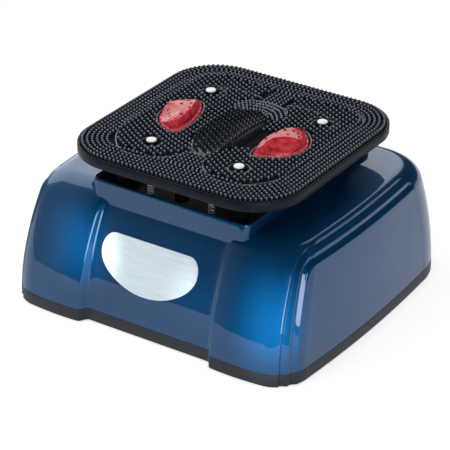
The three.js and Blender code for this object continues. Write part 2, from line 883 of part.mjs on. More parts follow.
function springPath(x, y) {
  const wire = 2 * wireRadius;
  const steps = springCurls * curlSteps;
  const low = new THREE.Vector3(x, y, springSeatTop + wire);
  const high = new THREE.Vector3(x + crankThrow, y, springPadBottom - gap - wire);
  const onCurl = (i) => {
    const angle = (i / curlSteps) * 2 * Math.PI;
    const spoke = new THREE.Vector3(Math.cos(angle), Math.sin(angle), 0);
    return low.clone().lerp(high, i / steps).addScaledVector(spoke, springRadius);
  };
  const curls = Array.from({ length: steps + 1 }, (_, i) => onCurl(i));
  const first = curls[0].clone().setZ(springSeatTop);
  const last = curls.at(-1).clone().setZ(springPadBottom - gap);
  return [first, ...curls, last];
}

// The least distance between the wire's own surfaces, half a curl or more apart.
function springSelfGap(points) {
  let least = Infinity;
  points.forEach((point, i) => {
    points.slice(i + curlSteps / 2).forEach((other) => {
      least = Math.min(least, point.distanceTo(other));
    });
  });
  return least - 2 * wireRadius;
}

function supportSpring([x, y]) {
  const points = springPath(x, y);
  const up = new THREE.Vector3(0, 0, 1);
  const positions = [];
  points.forEach((point, i) => {
    const ends = i === 0 || i === points.length - 1;
    const along = ends ? up : points[i + 1].clone().sub(points[i - 1]).normalize();
    const angle = (THREE.MathUtils.clamp(i - 1, 0, points.length - 3) / curlSteps) * 2 * Math.PI;
    const outward = new THREE.Vector3(Math.cos(angle), Math.sin(angle), 0);
    const across = along.clone().cross(outward).normalize();
    const out = across.clone().cross(along).normalize();
    for (let k = 0; k < wireSides; k++) {
      const turn = (k / wireSides) * 2 * Math.PI;
      const spoke = out.clone().multiplyScalar(Math.cos(turn)).addScaledVector(across, Math.sin(turn));
      positions.push(...point.clone().addScaledVector(spoke, wireRadius).toArray());
    }
  });
  const index = [];
  for (let i = 0; i + 1 < points.length; i++) {
    for (let k = 0; k < wireSides; k++) {
      const a = i * wireSides + k;
      const b = i * wireSides + ((k + 1) % wireSides);
      index.push(a, b, b + wireSides, a, b + wireSides, a + wireSides);
    }
  }
  const last = (points.length - 1) * wireSides;
  for (let k = 1; k + 1 < wireSides; k++) index.push(0, k + 1, k, last, last + k, last + k + 1);
  const geometry = new THREE.BufferGeometry();
  geometry.setAttribute("position", new THREE.Float32BufferAttribute(positions, 3));
  geometry.setIndex(index);
  return solidOf(geometry);
}

// Foot plate

const plateOutline = (inset) => roundedOutline(plateHalfWidth, plateHalfDepth, plateCorner, inset);
const bufferPlaces = [-bufferPlaceX, 0, bufferPlaceX].flatMap((x) => [
  [x, -springPlaceY],
  [x, springPlaceY],
]);
const capPlaces = {
  front_left: [-capFrontX, capFrontY],
  front_right: [capFrontX, capFrontY],
  back_right: [capBackX, capBackY],
  back_left: [-capBackX, capBackY],
};

function footPlate() {
  let plate = loft([
    atHeight(plateOutline(plateEdge), plateBottom),
    atHeight(plateOutline(0), plateBottom + plateEdge),
    atHeight(plateOutline(0), plateTop),
  ]);
  plate = without(
    plate,
    prism(plateOutline(plateRim), plateSkinTop, plateTop + overrun),
    prism(plateOutline(plateRim + plateEdge), plateBottom - overrun, plateSkinBottom),
  );
  const rib = plateRibThickness / 2;
  const ribHeights = [plateBottom + plateRibStep, plateSkinBottom + gap];
  const ribFrame = prism(plateOutline(plateRim), ...ribHeights);
  for (const side of [-1, 1]) {
    const [x, y] = [side * (plateHalfWidth - plateRibInsetX), side * (plateHalfDepth - plateRibInsetY)];
    plate = joined(
      plate,
      ribFrame.intersect(block(plateHalfWidth, rib, ...ribHeights, 0, y)),
      ribFrame.intersect(block(rib, plateHalfDepth, ...ribHeights, x, 0)),
    );
  }
  for (const [x, y] of corners(springPlaceX, springPlaceY)) {
    plate = plate.add(cylinder(springPadRadius, springPadBottom, plateSkinBottom + gap, x, y, smallSides));
  }
  for (const [x, y] of bufferPlaces) {
    plate = plate.add(cylinder(bufferRadius, bufferBossBottom, plateSkinBottom + gap, x, y, smallSides));
  }
  const hole = clearRadius(capStemRadius, smallSides);
  for (const [x, y] of Object.values(capPlaces)) {
    plate = plate.subtract(cylinder(hole, capStemBottom - overrun, plateTop, x, y, smallSides));
  }
  return plate;
}

const rubberBuffer = ([x, y]) =>
  turned(
    [
      [0, bufferBottom],
      [bufferRadius - bufferEdge, bufferBottom],
      [bufferRadius, bufferBottom + bufferEdge],
      [bufferRadius, bufferBossBottom - gap],
      [0, bufferBossBottom - gap],
    ],
    x,
    y,
    smallSides,
  );

// Half-moon domes

// The dome's outline on the right side, counter-clockwise, moved in by an inset.
function domeOutline(inset) {
  const path = new THREE.Path();
  path.moveTo(domeFrontX, domeFrontY);
  path.bezierCurveTo(domeBulgeX, domeBulgeFrontY, domeBulgeBackX, domeBulgeBackY, domeBackX, domeBackY);
  path.bezierCurveTo(domeInnerBackX, domeInnerBackY, domeInnerX, domeInnerFrontY, domeFrontX, domeFrontY);
  return insetOutline(path.getPoints(domeSteps).slice(0, -1), inset);
}

// A domed body on the dome's outline: it narrows towards a crest near its inner side.
function domeBody(inset, bottom, height) {
  const outline = domeOutline(inset);
  const rings = [atHeight(outline, bottom)];
  for (let i = 0; i < domeRings; i++) {
    const angle = (i / domeRings) * (Math.PI / 2);
    const reach = Math.cos(angle);
    const z = matTop + height * Math.sin(angle);
    rings.push(
      outline.map(
        ({ x, y }) =>
          new THREE.Vector3(
            THREE.MathUtils.lerp(domeCrestX, x, reach),
            THREE.MathUtils.lerp(domeCrestY, y, reach),
            z,
          ),
      ),
    );
  }
  return loft(rings);
}

function massageDome() {
  const seat = plateSkinTop + gap;
  return without(
    domeBody(0, seat, domeHeight),
    domeBody(domeWall, seat - overrun, domeHeight - domeWall),
  );
}

function lampBoard() {
  const bottom = plateSkinTop + gap;
  const top = bottom + lampBoardThickness;
  let board = prism(domeOutline(domeWall * 2), bottom, top);
  for (const i of [-1, 0, 1]) {
    const y = lampPlaceY + i * lampPitch;
    board = board.add(cylinder(lampRadius, bottom, top + lampHeight, lampPlaceX, y, smallSides));
  }
  return board;
}

const mirrored = (solid) => {
  const geometry = geometryOf(solid);
  const flipped = geometry.clone().scale(-1, 1, 1);
  const count = flipped.getAttribute("position").count;
  flipped.setIndex(Array.from({ length: count }, (_, i) => i).reverse());
  return solidOf(flipped);
};

// Massage mat

const matOutline = (inset) => plateOutline(plateRim + gap + inset);

const humpLift = (x, y) => {
  const out = Math.hypot(x / humpHalfWidth, (y - humpMiddleY) / humpHalfDepth);
  return out < 1 ? humpHeight * Math.cos((out * Math.PI) / 2) : 0;
};

function matHump() {
  const rings = [];
  for (let i = 0; i < humpRings; i++) {
    const out = 1 - i / humpRings;
    const ring = Array.from({ length: smallSides }, (_, k) => {
      const angle = (k / smallSides) * 2 * Math.PI;
      const x = humpHalfWidth * out * Math.cos(angle);
      const y = humpMiddleY + humpHalfDepth * out * Math.sin(angle);
      return new THREE.Vector3(x, y, matTop + humpLift(x, y));
    });
    rings.push(ring);
  }
  const foot = rings[0].map((point) => point.clone().setZ(matTop - nubSink));
  return loft([foot, ...rings]);
}

// A four-sided nub that stands on a base height and is sunk into what carries it.
function nub(x, y, base, height, sink) {
  const geometry = new THREE.CylinderGeometry(nubTipRadius, nubRootRadius, height + sink, nubSides);
  return solidOf(geometry.rotateX(Math.PI / 2).translate(x, y, base + (height - sink) / 2));
}

// Points along a closed outline at an even pitch.
function along(outline, pitch) {
  const path = new THREE.Path([...outline, outline[0]]);
  const count = Math.round(path.getLength() / pitch);
  return path.getSpacedPoints(count).slice(0, -1);
}

const within = (point, outline) =>
  outline.reduce((inside, a, i) => {
    const b = outline[(i + 1) % outline.length];
    const crosses = a.y > point.y !== b.y > point.y;
    const edgeX = a.x + ((point.y - a.y) / (b.y - a.y)) * (b.x - a.x);
    return crosses && point.x < edgeX ? !inside : inside;
  }, false);

// Where the nubs stand: two border rows, then a square field that leaves out the domes and the caps.
function nubPlaces() {
  const places = borderRows.flatMap((inset) => along(matOutline(inset), borderPitch));
  const field = matOutline(fieldInset);
  const keepOut = domeOutline(-nubRootRadius - domeWall);
  const half = Math.floor((plateHalfDepth - fieldInset) / fieldPitch);
  for (let i = -half; i <= half; i++) {
    for (let j = -half; j <= half; j++) {
      const point = new THREE.Vector2(i * fieldPitch, j * fieldPitch);
      const side = new THREE.Vector2(Math.abs(point.x), point.y);
      const byCap = Object.values(capPlaces).some(
        ([x, y]) => Math.hypot(point.x - x, point.y - y) < capPostRadius + 2 * nubRootRadius,
      );
      if (within(point, field) && !within(side, keepOut) && !byCap) places.push(point);
    }
  }
  return places;
}

function massageMat() {
  const bottom = plateSkinTop + gap;
  let mat = joined(prism(matOutline(0), bottom, matTop), matHump());
  for (const [x, y] of Object.values(capPlaces)) {
    mat = mat.add(cylinder(capPostRadius, bottom, capSeatHeight - gap, x, y, smallSides));
  }
  for (const { x, y } of nubPlaces()) {
    const lift = humpLift(x, y);
    const [height, sink] = lift > 0 ? [spikeHeight, spikeSink] : [nubHeight, nubSink];
    mat = mat.add(nub(x, y, matTop + lift, height, sink));
  }
  const dome = prism(domeOutline(-gap - gap), bottom - overrun, matTop + overrun);
  mat = without(mat, dome, mirrored(dome));
  const hole = clearRadius(capStemRadius, smallSides);
  for (const [x, y] of Object.values(capPlaces)) {
    mat = mat.subtract(cylinder(hole, bottom - overrun, capSeatHeight + overrun, x, y, smallSides));
  }
  return mat;
}

const screwCap = ([x, y]) =>
  turned(
    [
      [0, capStemBottom],
      [capStemRadius, capStemBottom],
      [capStemRadius, capSeatHeight],
      [capRadius, capSeatHeight],
      [capRadius, capSeatHeight + capHeight / 2],
      [capRadius - capHeight / 2, capSeatHeight + capHeight],
      [0, capSeatHeight + capHeight],
    ],
    x,
    y,
    smallSides,
  );

// Recessed panel and what it carries

// A round piece along Y, from one depth to another.
function rod(radius, from, to, x, z, sides = smallSides) {
  const geometry = new THREE.CylinderGeometry(radius, radius, to - from, sides);
  return solidOf(geometry.translate(x, (from + to) / 2, z));
}

// A box along Y, from one depth to another, about the panel's middle height.
const bar = (halfX, halfZ, from, to, x, z = panelMiddle) =>
  block(halfX, (to - from) / 2, z - halfZ, z + halfZ, x, (from + to) / 2);

const rockerHalfHeight = rockerReach + gap;

function rearPanel() {
  const behind = block(housingHalfWidth, housingHalfDepth, 0, deckHeight, 0, panelBack + housingHalfDepth);
  const tub = without(
    panelOpening(gap).intersect(behind),
    bar(
      panelHalfWidth - panelWall,
      panelHalfHeight - panelWall,
      panelFace,
      housingHalfDepth + overrun,
      0,
    ),
  ).intersect(housingBody(0, deckHeight, 0));
  const past = [panelBack - overrun, panelFace + overrun];
  let panel = without(
    tub,
    bar(inletHalfWidth + gap, inletHalfHeight + gap, ...past, inletPlaceX),
    bar(rockerHalfWidth + bezelWall + 2 * gap, rockerHalfHeight + bezelWall + gap, ...past, rockerPlaceX),
    rod(clearRadius(fuseBodyRadius, smallSides), ...past, fusePlaceX, panelMiddle),
  );
  for (const x of Object.values(buttonPlaces)) {
    panel = panel.subtract(rod(clearRadius(buttonRadius, smallSides), ...past, x, panelMiddle));
  }
  for (const [x, z] of corners(boardPostSpreadX, boardPostSpreadZ)) {
    const spot = [boardMiddleX + x, panelMiddle + z];
    panel = panel.add(rod(boardPostRadius, boardFace + gap, panelBack + gap, ...spot));
  }
  return panel;
}

const inletFace = panelFace + gap + inletFlangeThickness;
const inletPins = {
  line: [inletPlaceX - inletPinSpread, panelMiddle - inletPinDrop],
  neutral: [inletPlaceX + inletPinSpread, panelMiddle - inletPinDrop],
  earth: [inletPlaceX, panelMiddle - inletPinDrop + inletPinStep],
};

const inletPin = ([x, z], slack = 0) =>
  bar(
    inletPinWidth / 2 + slack,
    inletPinHeight / 2 + slack,
    inletFace - inletPinSetback - inletPinLength - slack,
    inletFace - inletPinSetback,
    x,
    z,
  );

function powerInlet() {
  const back = inletFace - inletDepth;
  const [wide, high] = [inletHalfWidth + inletFlange, inletHalfHeight + inletFlange];
  const inlet = joined(
    bar(wide, high, panelFace + gap, inletFace, inletPlaceX),
    bar(inletHalfWidth, inletHalfHeight, back, inletFace, inletPlaceX),
  );
  const hollow = bar(
    inletHalfWidth - inletWall,
    inletHalfHeight - inletWall,
    back + inletBackWall,
    inletFace + overrun,
    inletPlaceX,
  );
  return without(inlet, hollow, ...Object.values(inletPins).map((pin) => inletPin(pin, gap)));
}

function switchBezel() {
  const face = panelFace + gap + bezelFlangeThickness;
  const halfX = rockerHalfWidth + gap;
  const halfZ = rockerHalfHeight;
  const flange = bezelWall + bezelFlange;
  return without(
    joined(
      bar(halfX + flange, halfZ + flange, panelFace + gap, face, rockerPlaceX),
      bar(halfX + bezelWall, halfZ + bezelWall, face - bezelDepth, face, rockerPlaceX),
    ),
    bar(halfX, halfZ, face - bezelDepth + bezelWall, face + overrun, rockerPlaceX),
  );
}

// A rocker with two faces that meet in a shallow notch, tilted to its off side about the pivot.
function powerRocker() {
  const front = rockerReach * rockerFaceShare;
  const back = -rockerReach * rockerBackShare;
  const half = Math.sqrt(rockerReach ** 2 - front ** 2);
  const shape = new THREE.Shape();
  shape.moveTo(rockerWaist, 0);
  shape.lineTo(front, half);
  shape.lineTo(back, half);
  shape.lineTo(back, -half);
  shape.lineTo(front, -half);
  shape.closePath();
  const geometry = new THREE.ExtrudeGeometry(shape, { depth: 2 * rockerHalfWidth, bevelEnabled: false });
  geometry.translate(0, 0, -rockerHalfWidth).rotateX(Math.PI / 2).rotateZ(Math.PI / 2);
  geometry.rotateX(rockerTilt).translate(rockerPlaceX, rockerPivot, panelMiddle);
  return solidOf(geometry);
}

function fuseHolder() {
  const face = panelFace + gap + fuseHeadHeight;
  const slotDepths = [face - fuseSlotDepth, face + overrun];
  const slot = bar(fuseHeadRadius + gap, fuseSlotWidth / 2, ...slotDepths, fusePlaceX);
  return without(
    joined(
      rod(fuseHeadRadius, panelFace + gap, face, fusePlaceX, panelMiddle),
      rod(fuseBodyRadius, face - fuseBodyLength, face, fusePlaceX, panelMiddle),
    ),
    slot,
  );
}

function pushButton(x) {
  const face = panelFace + buttonReach;
  const flange = panelBack - gap;
  const cap = new THREE.CylinderGeometry(buttonRadius - buttonEdge, buttonRadius, buttonEdge, smallSides);
  return joined(
    rod(buttonFlangeRadius, flange - buttonFlangeThickness, flange, x, panelMiddle),
    rod(buttonRadius, flange - buttonFlangeThickness, face - buttonEdge, x, panelMiddle),
    solidOf(cap.translate(x, face - buttonEdge / 2, panelMiddle)),
  );
}

function controlBoard() {
  const back = boardFace - boardThickness;
  const plunger = panelBack - 2 * gap - buttonFlangeThickness - buttonTravel;
  const [upper, lower] = [panelMiddle + relayDrop, panelMiddle - relayDrop];
  const half = relayHeight / 2;
  let board = joined(
    bar(boardHalfWidth, boardHalfHeight, back, boardFace, boardMiddleX),
    bar(relayWidth / 2, half, back - relayDepth, back + gap, boardMiddleX, upper),
    bar(half, half, back - relayHeight, back + gap, boardMiddleX, lower),
  );
  for (const x of Object.values(buttonPlaces)) {
    board = board.add(bar(tactHalfWidth, tactHalfWidth, back, plunger, x));
  }
  return board;
}

// Materials

const material = (color, roughness, metalness = 0) =>
  new THREE.MeshStandardMaterial({ color, roughness, metalness });
const paint = material(0x0d4f86, 0.18, 0.35);
const plinth = material(0x3a3f4a, 0.5);
const silver = material(0xdfe6ec, 0.35, 0.6);
const blackPlastic = material(0x17181a, 0.45);
const satinPlastic = material(0x2b2d31, 0.4);
const rubber = material(0x101113, 0.55);
const redDome = material(0xc8323a, 0.2);
const white = material(0xf2f2f0, 0.3);
const steel = material(0xb9bcc0, 0.3, 0.9);
const castMetal = material(0x8d9094, 0.55, 0.8);
const brass = material(0xb9a15a, 0.35, 0.9);
const green = material(0x1f5b3a, 0.6);

// Assembly

const machine = new THREE.Group();
const plateGroup = new THREE.Group(); // at rest the crank holds it to the right
plateGroup.position.x = crankThrow;
machine.add(plateGroup);

function place(name, solid, look, group = machine) {
  const mesh = new THREE.Mesh(geometryOf(solid), look);
  mesh.name = name;
  group.add(mesh);
}

const placeOnPlate = (name, solid, look) => place(name, solid, look, plateGroup);

place("housing_shell", housingShell(), paint);
place("base_pan", basePan(), plinth);
place("front_badge", frontBadge(), silver);
corners(footPlaceX, footPlaceY).forEach((spot, i) => {
  place("rubber_foot_" + cornerNames[i], rubberFoot(spot), rubber);
});
corners(screwPlaceX, screwPlaceY).forEach((spot, i) => {
  place("base_screw_" + cornerNames[i], baseScrew(spot), steel);
});

place("chassis_plate", chassisPlate(), steel);
place("bearing_housing", bearingHousing(), castMetal);
place("bearing_lower", mainBearing(lowerBearingBottom), steel);
place("bearing_upper", mainBearing(upperBearingBottom), steel);
place("crank_shaft", crankShaft(), steel);
place("counterweight", counterweight(), castMetal);
place("driven_pulley", drivenPulley(), castMetal);
place("pulley_nut", pulleyNut(), steel);
place("drive_belt", driveBelt(), rubber);
place("motor_body", motorBody(), castMetal);
place("motor_shaft", motorShaft(), steel);
place("motor_pulley", motorPulley(), castMetal);

place("well_tray", wellTray(), blackPlastic);
corners(springPlaceX, springPlaceY).forEach((spot, i) => {
  place("support_spring_" + cornerNames[i], supportSpring(spot), steel);
});
console.log("least gap in a spring's wire, mm:", springSelfGap(springPath(0, 0)).toFixed(2));

placeOnPlate("eccentric_bearing", pinBearing(), steel);
placeOnPlate("plate_hub", plateHub(), castMetal);
placeOnPlate("foot_plate", footPlate(), satinPlastic);
bufferPlaces.forEach((spot, i) => placeOnPlate("rubber_buffer_" + (i + 1), rubberBuffer(spot), rubber));
placeOnPlate("massage_mat", massageMat(), rubber);
placeOnPlate("massage_dome_right", massageDome(), redDome);
placeOnPlate("massage_dome_left", mirrored(massageDome()), redDome);
placeOnPlate("lamp_board_right", lampBoard(), green);
placeOnPlate("lamp_board_left", mirrored(lampBoard()), green);
for (const [name, spot] of Object.entries(capPlaces)) {
  placeOnPlate("screw_cap_" + name, screwCap(spot), white);
}

place("rear_panel", rearPanel(), blackPlastic);
place("power_inlet", powerInlet(), blackPlastic);
for (const [name, spot] of Object.entries(inletPins)) place("inlet_pin_" + name, inletPin(spot), brass);
place("switch_bezel", switchBezel(), satinPlastic);
place("power_rocker", powerRocker(), redDome);
place("fuse_holder", fuseHolder(), blackPlastic);
for (const [name, x] of Object.entries(buttonPlaces)) place("button_" + name, pushButton(x), white);
place("control_board", controlBoard(), green);

export default machine;
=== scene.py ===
"""Looks of the foot circulation machine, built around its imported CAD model."""

import json
import math

import bpy
import numpy as np
from mathutils import Matrix, Vector


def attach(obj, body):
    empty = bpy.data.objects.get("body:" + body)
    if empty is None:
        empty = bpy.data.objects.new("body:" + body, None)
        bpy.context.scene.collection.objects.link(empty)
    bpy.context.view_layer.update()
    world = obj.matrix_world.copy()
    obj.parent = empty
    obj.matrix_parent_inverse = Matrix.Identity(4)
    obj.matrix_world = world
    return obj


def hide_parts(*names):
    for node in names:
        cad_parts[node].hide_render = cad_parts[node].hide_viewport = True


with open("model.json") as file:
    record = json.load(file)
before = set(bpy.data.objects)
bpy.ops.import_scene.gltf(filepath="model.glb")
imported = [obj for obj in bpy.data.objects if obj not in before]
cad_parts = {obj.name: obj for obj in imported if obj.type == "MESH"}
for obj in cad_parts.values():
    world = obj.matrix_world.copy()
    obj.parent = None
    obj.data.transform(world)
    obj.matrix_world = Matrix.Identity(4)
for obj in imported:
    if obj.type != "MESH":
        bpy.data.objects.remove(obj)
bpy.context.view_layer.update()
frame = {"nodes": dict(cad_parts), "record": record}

MM = 0.001
TAU = 2 * math.pi

# Sizes in millimetres, as in the part's source. Heights are above the floor.
HALF_WIDTH = 231.0
SIDE_HALF_WIDTH = 225.0
HALF_DEPTH = 217.5
CENTRE_SETBACK = 13.5
CROWN = 236.4  # handle of the side's curve
STEP_MIDDLE = 101.0
STEP_RUN = 14.0
COLUMN_END = 185.0
COLUMN_FALL = 3.0
FRONT_CORNER_PLACE = 165.0
BACK_CORNER_PLACE = 130.0
BACK_CORNER_START = 145.0
CORNER_SHARE = 0.56
DECK = 171.0
SHELL_WALL = 3.0
PLINTH_BOTTOM = 1.5
PLINTH_TOP = 19.0
COLLAR = (125.0, 155.0, 14.0)  # half width, half depth and corner radius
COLLAR_TOP = 186.0
PLATE = (170.0, 172.3, 74.0)
PLATE_BOTTOM = 213.0
PLATE_TOP = 226.7
SKIN_BOTTOM = 218.0
SKIN_TOP = 222.0
THROW = 2.0  # at rest the crank holds the plate this far to the right
MAT_TOP = 226.4
MAT_INSET = 3.8  # from the plate's edge
SPRING_X = 48.0
SPRING_Y = 124.0
BUFFER_X = 94.0
CAP_FRONT = (69.0, -94.0)
CAP_BACK = (90.0, 77.0)
CAP_SEAT = 231.0
ON_PLATE = np.array([THROW, 0, 0])


# Mesh helpers

def new_object(name, verts, faces):
    mesh = bpy.data.meshes.new(name)
    mesh.from_pydata(np.asarray(verts, float).tolist(), [], faces)
    mesh.update()
    obj = bpy.data.objects.new(name, mesh)
    bpy.context.scene.collection.objects.link(obj)
    return obj


def add_object(name, verts, faces, material, sharp=32.0):
    """A smooth piece from vertices in millimetres; its edges stay hard above the sharp angle."""
    obj = new_object(name, np.asarray(verts, float) * MM, faces)
    obj.data.shade_smooth()
    obj.data.set_sharp_from_angle(angle=math.radians(sharp))
    obj.data.materials.append(material)
    return obj


def circle(sides):
    angles = np.arange(sides) * TAU / sides
    return np.column_stack([np.cos(angles), np.sin(angles)])


def ring(points, height):
    """Flat points lifted to one height."""
    points = np.asarray(points, float)
    return np.column_stack([points[:, :2], np.full(len(points), float(height))])


def loft(rings):
    """Vertices and faces of a closed body through equal rings, each counter-clockwise from above."""
    count = len(rings[0])
    verts = np.concatenate(rings)
    faces = [list(range(count))[::-1]]
    for level in range(len(rings) - 1):
        low, high = level * count, (level + 1) * count
        for i in range(count):
            j = (i + 1) % count
            faces.append([low + i, low + j, high + j, high + i])
    last = (len(rings) - 1) * count
    faces.append(list(range(last, last + count)))
    return verts, faces


def merged(*parts):
    """One list of vertices and faces out of several (verts, faces) pairs."""
    verts, faces, start = [], [], 0
    for part_verts, part_faces in parts:
        verts.append(np.asarray(part_verts, float))
        faces += [[start + i for i in face] for face in part_faces]
        start += len(part_verts)
    return np.concatenate(verts), faces


def lathe(profile, x, y, sides=40):
    """A body of revolution about a vertical axis from (radius, height) pairs, lowest first."""
    return loft([ring(circle(sides) * radius + [x, y], height) for radius, height in profile])


def box_body(low, high):
    """A box between two corners."""
    (x0, y0, z0), (x1, y1, z1) = low, high
    square = [(x0, y0), (x1, y0), (x1, y1), (x0, y1)]
    return loft([ring(square, z0), ring(square, z1)])


def boolean(base, cutter, operation):
    """The base joined with or cut by the cutter. Both are (verts, faces) pairs, as is the result."""
    objects = [new_object("part", *part) for part in (base, cutter)]
    modifier = objects[0].modifiers.new("cut", "BOOLEAN")
    modifier.operation = operation
    modifier.solver = "MANIFOLD"
    modifier.object = objects[1]
    bpy.context.view_layer.update()
    result = objects[0].evaluated_get(bpy.context.evaluated_depsgraph_get()).to_mesh()
    verts = np.array([v.co[:] for v in result.vertices])
    faces = [list(p.vertices) for p in result.polygons]
    for obj in objects:
        mesh = obj.data
        bpy.data.objects.remove(obj)
        bpy.data.meshes.remove(mesh)
    return verts, faces


# Outlines

def sampled(*stretches):
    """Points along curve stretches given as (control points, count of steps)."""
    points = []
    for controls, count in stretches:
        t = np.linspace(0, 1, count + 1)[1:, None]
        degree = len(controls) - 1
        curve = sum(
            math.comb(degree, k) * (1 - t) ** (degree - k) * t**k * np.array(control, float)
            for k, control in enumerate(controls)
        )
        points.append(curve)
    return np.concatenate([[np.array(stretches[0][0][0], float)], *points])


def rounded(half_x, half_y, corner, inset, corner_steps, side_steps=1):
    """A rounded rectangle, counter-clockwise from the middle of its front side."""
    radius = corner - inset
    points = []
    for start, sx, sy in ((-90, 1, -1), (0, 1, 1), (90, -1, 1), (180, -1, -1)):
        middle = np.array([sx * (half_x - corner), sy * (half_y - corner)])
        for k in range(corner_steps + 1):
            angle = math.radians(start + 90 * k / corner_steps)
            points.append(middle + radius * np.array([math.cos(angle), math.sin(angle)]))
    if side_steps > 1:
        finer = []
        for i, point in enumerate(points):
            after = points[(i + 1) % len(points)]
            steps = side_steps if i % (corner_steps + 1) == corner_steps else 1
            finer += [point + (after - point) * k / steps for k in range(steps)]
        points = finer
    return np.array(points)


def inset_outline(points, distance):
    """A closed outline moved inwards by a distance."""
    before = points - np.roll(points, 1, 0)
    after = np.roll(points, -1, 0) - points
    before /= np.linalg.norm(before, axis=1)[:, None]
    after /= np.linalg.norm(after, axis=1)[:, None]
    along = before + after
    along /= np.linalg.norm(along, axis=1)[:, None]
    return points + np.column_stack([-along[:, 1], along[:, 0]]) * distance


# Housing form

def housing_outline(fine=1.0):
    """The housing's outline at the floor, counter-clockwise from the middle of the front."""
    steps = lambda count: max(2, round(count * fine))
    centre_y = -(HALF_DEPTH - CENTRE_SETBACK)
    column_y = -(HALF_DEPTH - COLUMN_FALL / 2)
    column_middle = (STEP_MIDDLE + COLUMN_END) / 2
    end_y = -(HALF_DEPTH - COLUMN_FALL)
    side = SIDE_HALF_WIDTH
    step = STEP_RUN / 2
    corner_x = COLUMN_END + CORNER_SHARE * (side - COLUMN_END)
    corner_y = end_y + (1 - CORNER_SHARE) * (HALF_DEPTH - FRONT_CORNER_PLACE)
    back_y = BACK_CORNER_PLACE + CORNER_SHARE * (HALF_DEPTH - BACK_CORNER_PLACE)
    back_x = BACK_CORNER_START + CORNER_SHARE * (side - BACK_CORNER_START)
    right = sampled(
        ([(0, centre_y), (STEP_MIDDLE - step, centre_y)], steps(14)),
        ([(STEP_MIDDLE - step, centre_y), (STEP_MIDDLE, centre_y), (STEP_MIDDLE, column_y),
          (STEP_MIDDLE + step, column_y)], steps(20)),
        ([(STEP_MIDDLE + step, column_y), (column_middle, column_y - COLUMN_FALL),
          (COLUMN_END, end_y)], steps(22)),
        ([(COLUMN_END, end_y), (corner_x, end_y + COLUMN_FALL), (side, corner_y),
          (side, -FRONT_CORNER_PLACE)], steps(88)),
        ([(side, -FRONT_CORNER_PLACE), (CROWN, (BACK_CORNER_PLACE - FRONT_CORNER_PLACE) / 2),
          (side, BACK_CORNER_PLACE)], steps(84)),
        ([(side, BACK_CORNER_PLACE), (side, back_y), (back_x, HALF_DEPTH),
          (BACK_CORNER_START, HALF_DEPTH)], steps(30)),
        ([(BACK_CORNER_START, HALF_DEPTH), (0, HALF_DEPTH)], steps(12)),
    )
    left = right[1:-1][::-1] * np.array([-1, 1])
    return np.concatenate([right, left])


# Where each wall's fold to the deck starts, and how far the wall has leaned in by then
WALLS = {"front": (140.0, 40.6), "side": (146.0, 10.7), "back": (146.0, 28.0)}
SHELL_GAP = 0.3  # over the plinth
SHELL_RINGS = (92, 96)  # on the wall and on the fold
HOLLOW_RINGS = (10, 8)
HOLLOW_EXTRA = 1.3  # leaves more wall behind the grooves
DECK_INSET = 4.0  # of the ring that closes the deck
COLLAR_EDGE = 2.0
COARSE = 0.25  # share of the outline's points that hidden faces get
REAR_OPENING = ((-70, 181, 36), (70, 254, 104))


def drawn_in(height, wall, top):
    """How far a wall stands in from the floor's outline: a parabola, then a round fold to the top."""
    wall_top, lean = WALLS[wall]
    if height <= wall_top:
        return lean * (height / wall_top) ** 2
    start = math.atan(2 * lean / wall_top)
    radius = (top - wall_top) / (1 - math.sin(start))
    angle = math.asin(min(1.0, math.sin(start) + (height - wall_top) / radius))
    return lean + radius * (math.cos(start) - math.cos(angle))


def housing_ring(outline, height, top, extra=0.0):
    """The outline at a height, drawn in by the walls' lean and by an extra width on the deck."""
    side = drawn_in(height, "side", top) + extra
    front = drawn_in(height, "front", top) + extra
    back = drawn_in(height, "back", top) + extra
    x, y = outline[:, 0], outline[:, 1]
    narrowing = side / HALF_WIDTH * (x / HALF_WIDTH) ** 2
    shortening = np.where(y < 0, front, back) / HALF_DEPTH
    return np.column_stack([x * (1 - narrowing), y * (1 - shortening), np.full(len(x), float(height))])


def wall_heights(bottom, top, walls, folds):
    """Heights of the rings: even ones up the wall, then closer ones round the fold."""
    start = WALLS["front"][0]
    heights = list(np.linspace(bottom, start, walls + 1))
    heights += [start + (top - start) * math.sin(i / folds * math.pi / 2) for i in range(1, folds + 1)]
    return heights


def smoothstep(edge0, edge1, value):
    t = np.clip((value - edge0) / (edge1 - edge0), 0, 1)
    return t * t * (3 - 2 * t)


GROOVES = ((2.0, 14.3, 2.6), (-11.2, 2.0, 4.6))  # lower edge, upper edge and flank of each
GROOVE_DEPTH = 2.7
GROOVE_TURN = 18.0  # radius of the bend from the corner into the side
GROOVE_END = 334.0  # along the side from the corner
GROOVE_DECK_REACH = 26.5  # from the deck's edge down to the grooves' middle
NOTCH = np.array([212.4, -194.5])  # where the grooves cross the floor's outline


def groove_depth(along, up, corner_up):
    """Depth of the edge grooves, by the way along the outline from the corner and up the side."""
    turn = GROOVE_TURN
    middle = corner_up - turn
    distance = np.where(
        along >= turn,
        up - corner_up,
        np.where(up <= middle, -along, np.hypot(along - turn, up - middle) - turn),
    )
    total = np.zeros_like(distance)
    for low, high, flank in GROOVES:
        foot = high - flank
        floor = 1 - np.clip((foot - distance) / (foot - low), 0, 1) ** 1.6
        share = np.clip(np.where(distance > foot, (high - distance) / flank, floor), 0, 1)
        half = (high - low) / 2
        past = np.maximum(along - (GROOVE_END - half), 0)
        offset = (distance - (low + high) / 2) * np.clip(1.4 * past / half, 0, 1)
        share = share * (1 - smoothstep(0.72, 0.95, np.hypot(offset, past) / half))
        total = np.maximum(total, share)
    return GROOVE_DEPTH * total


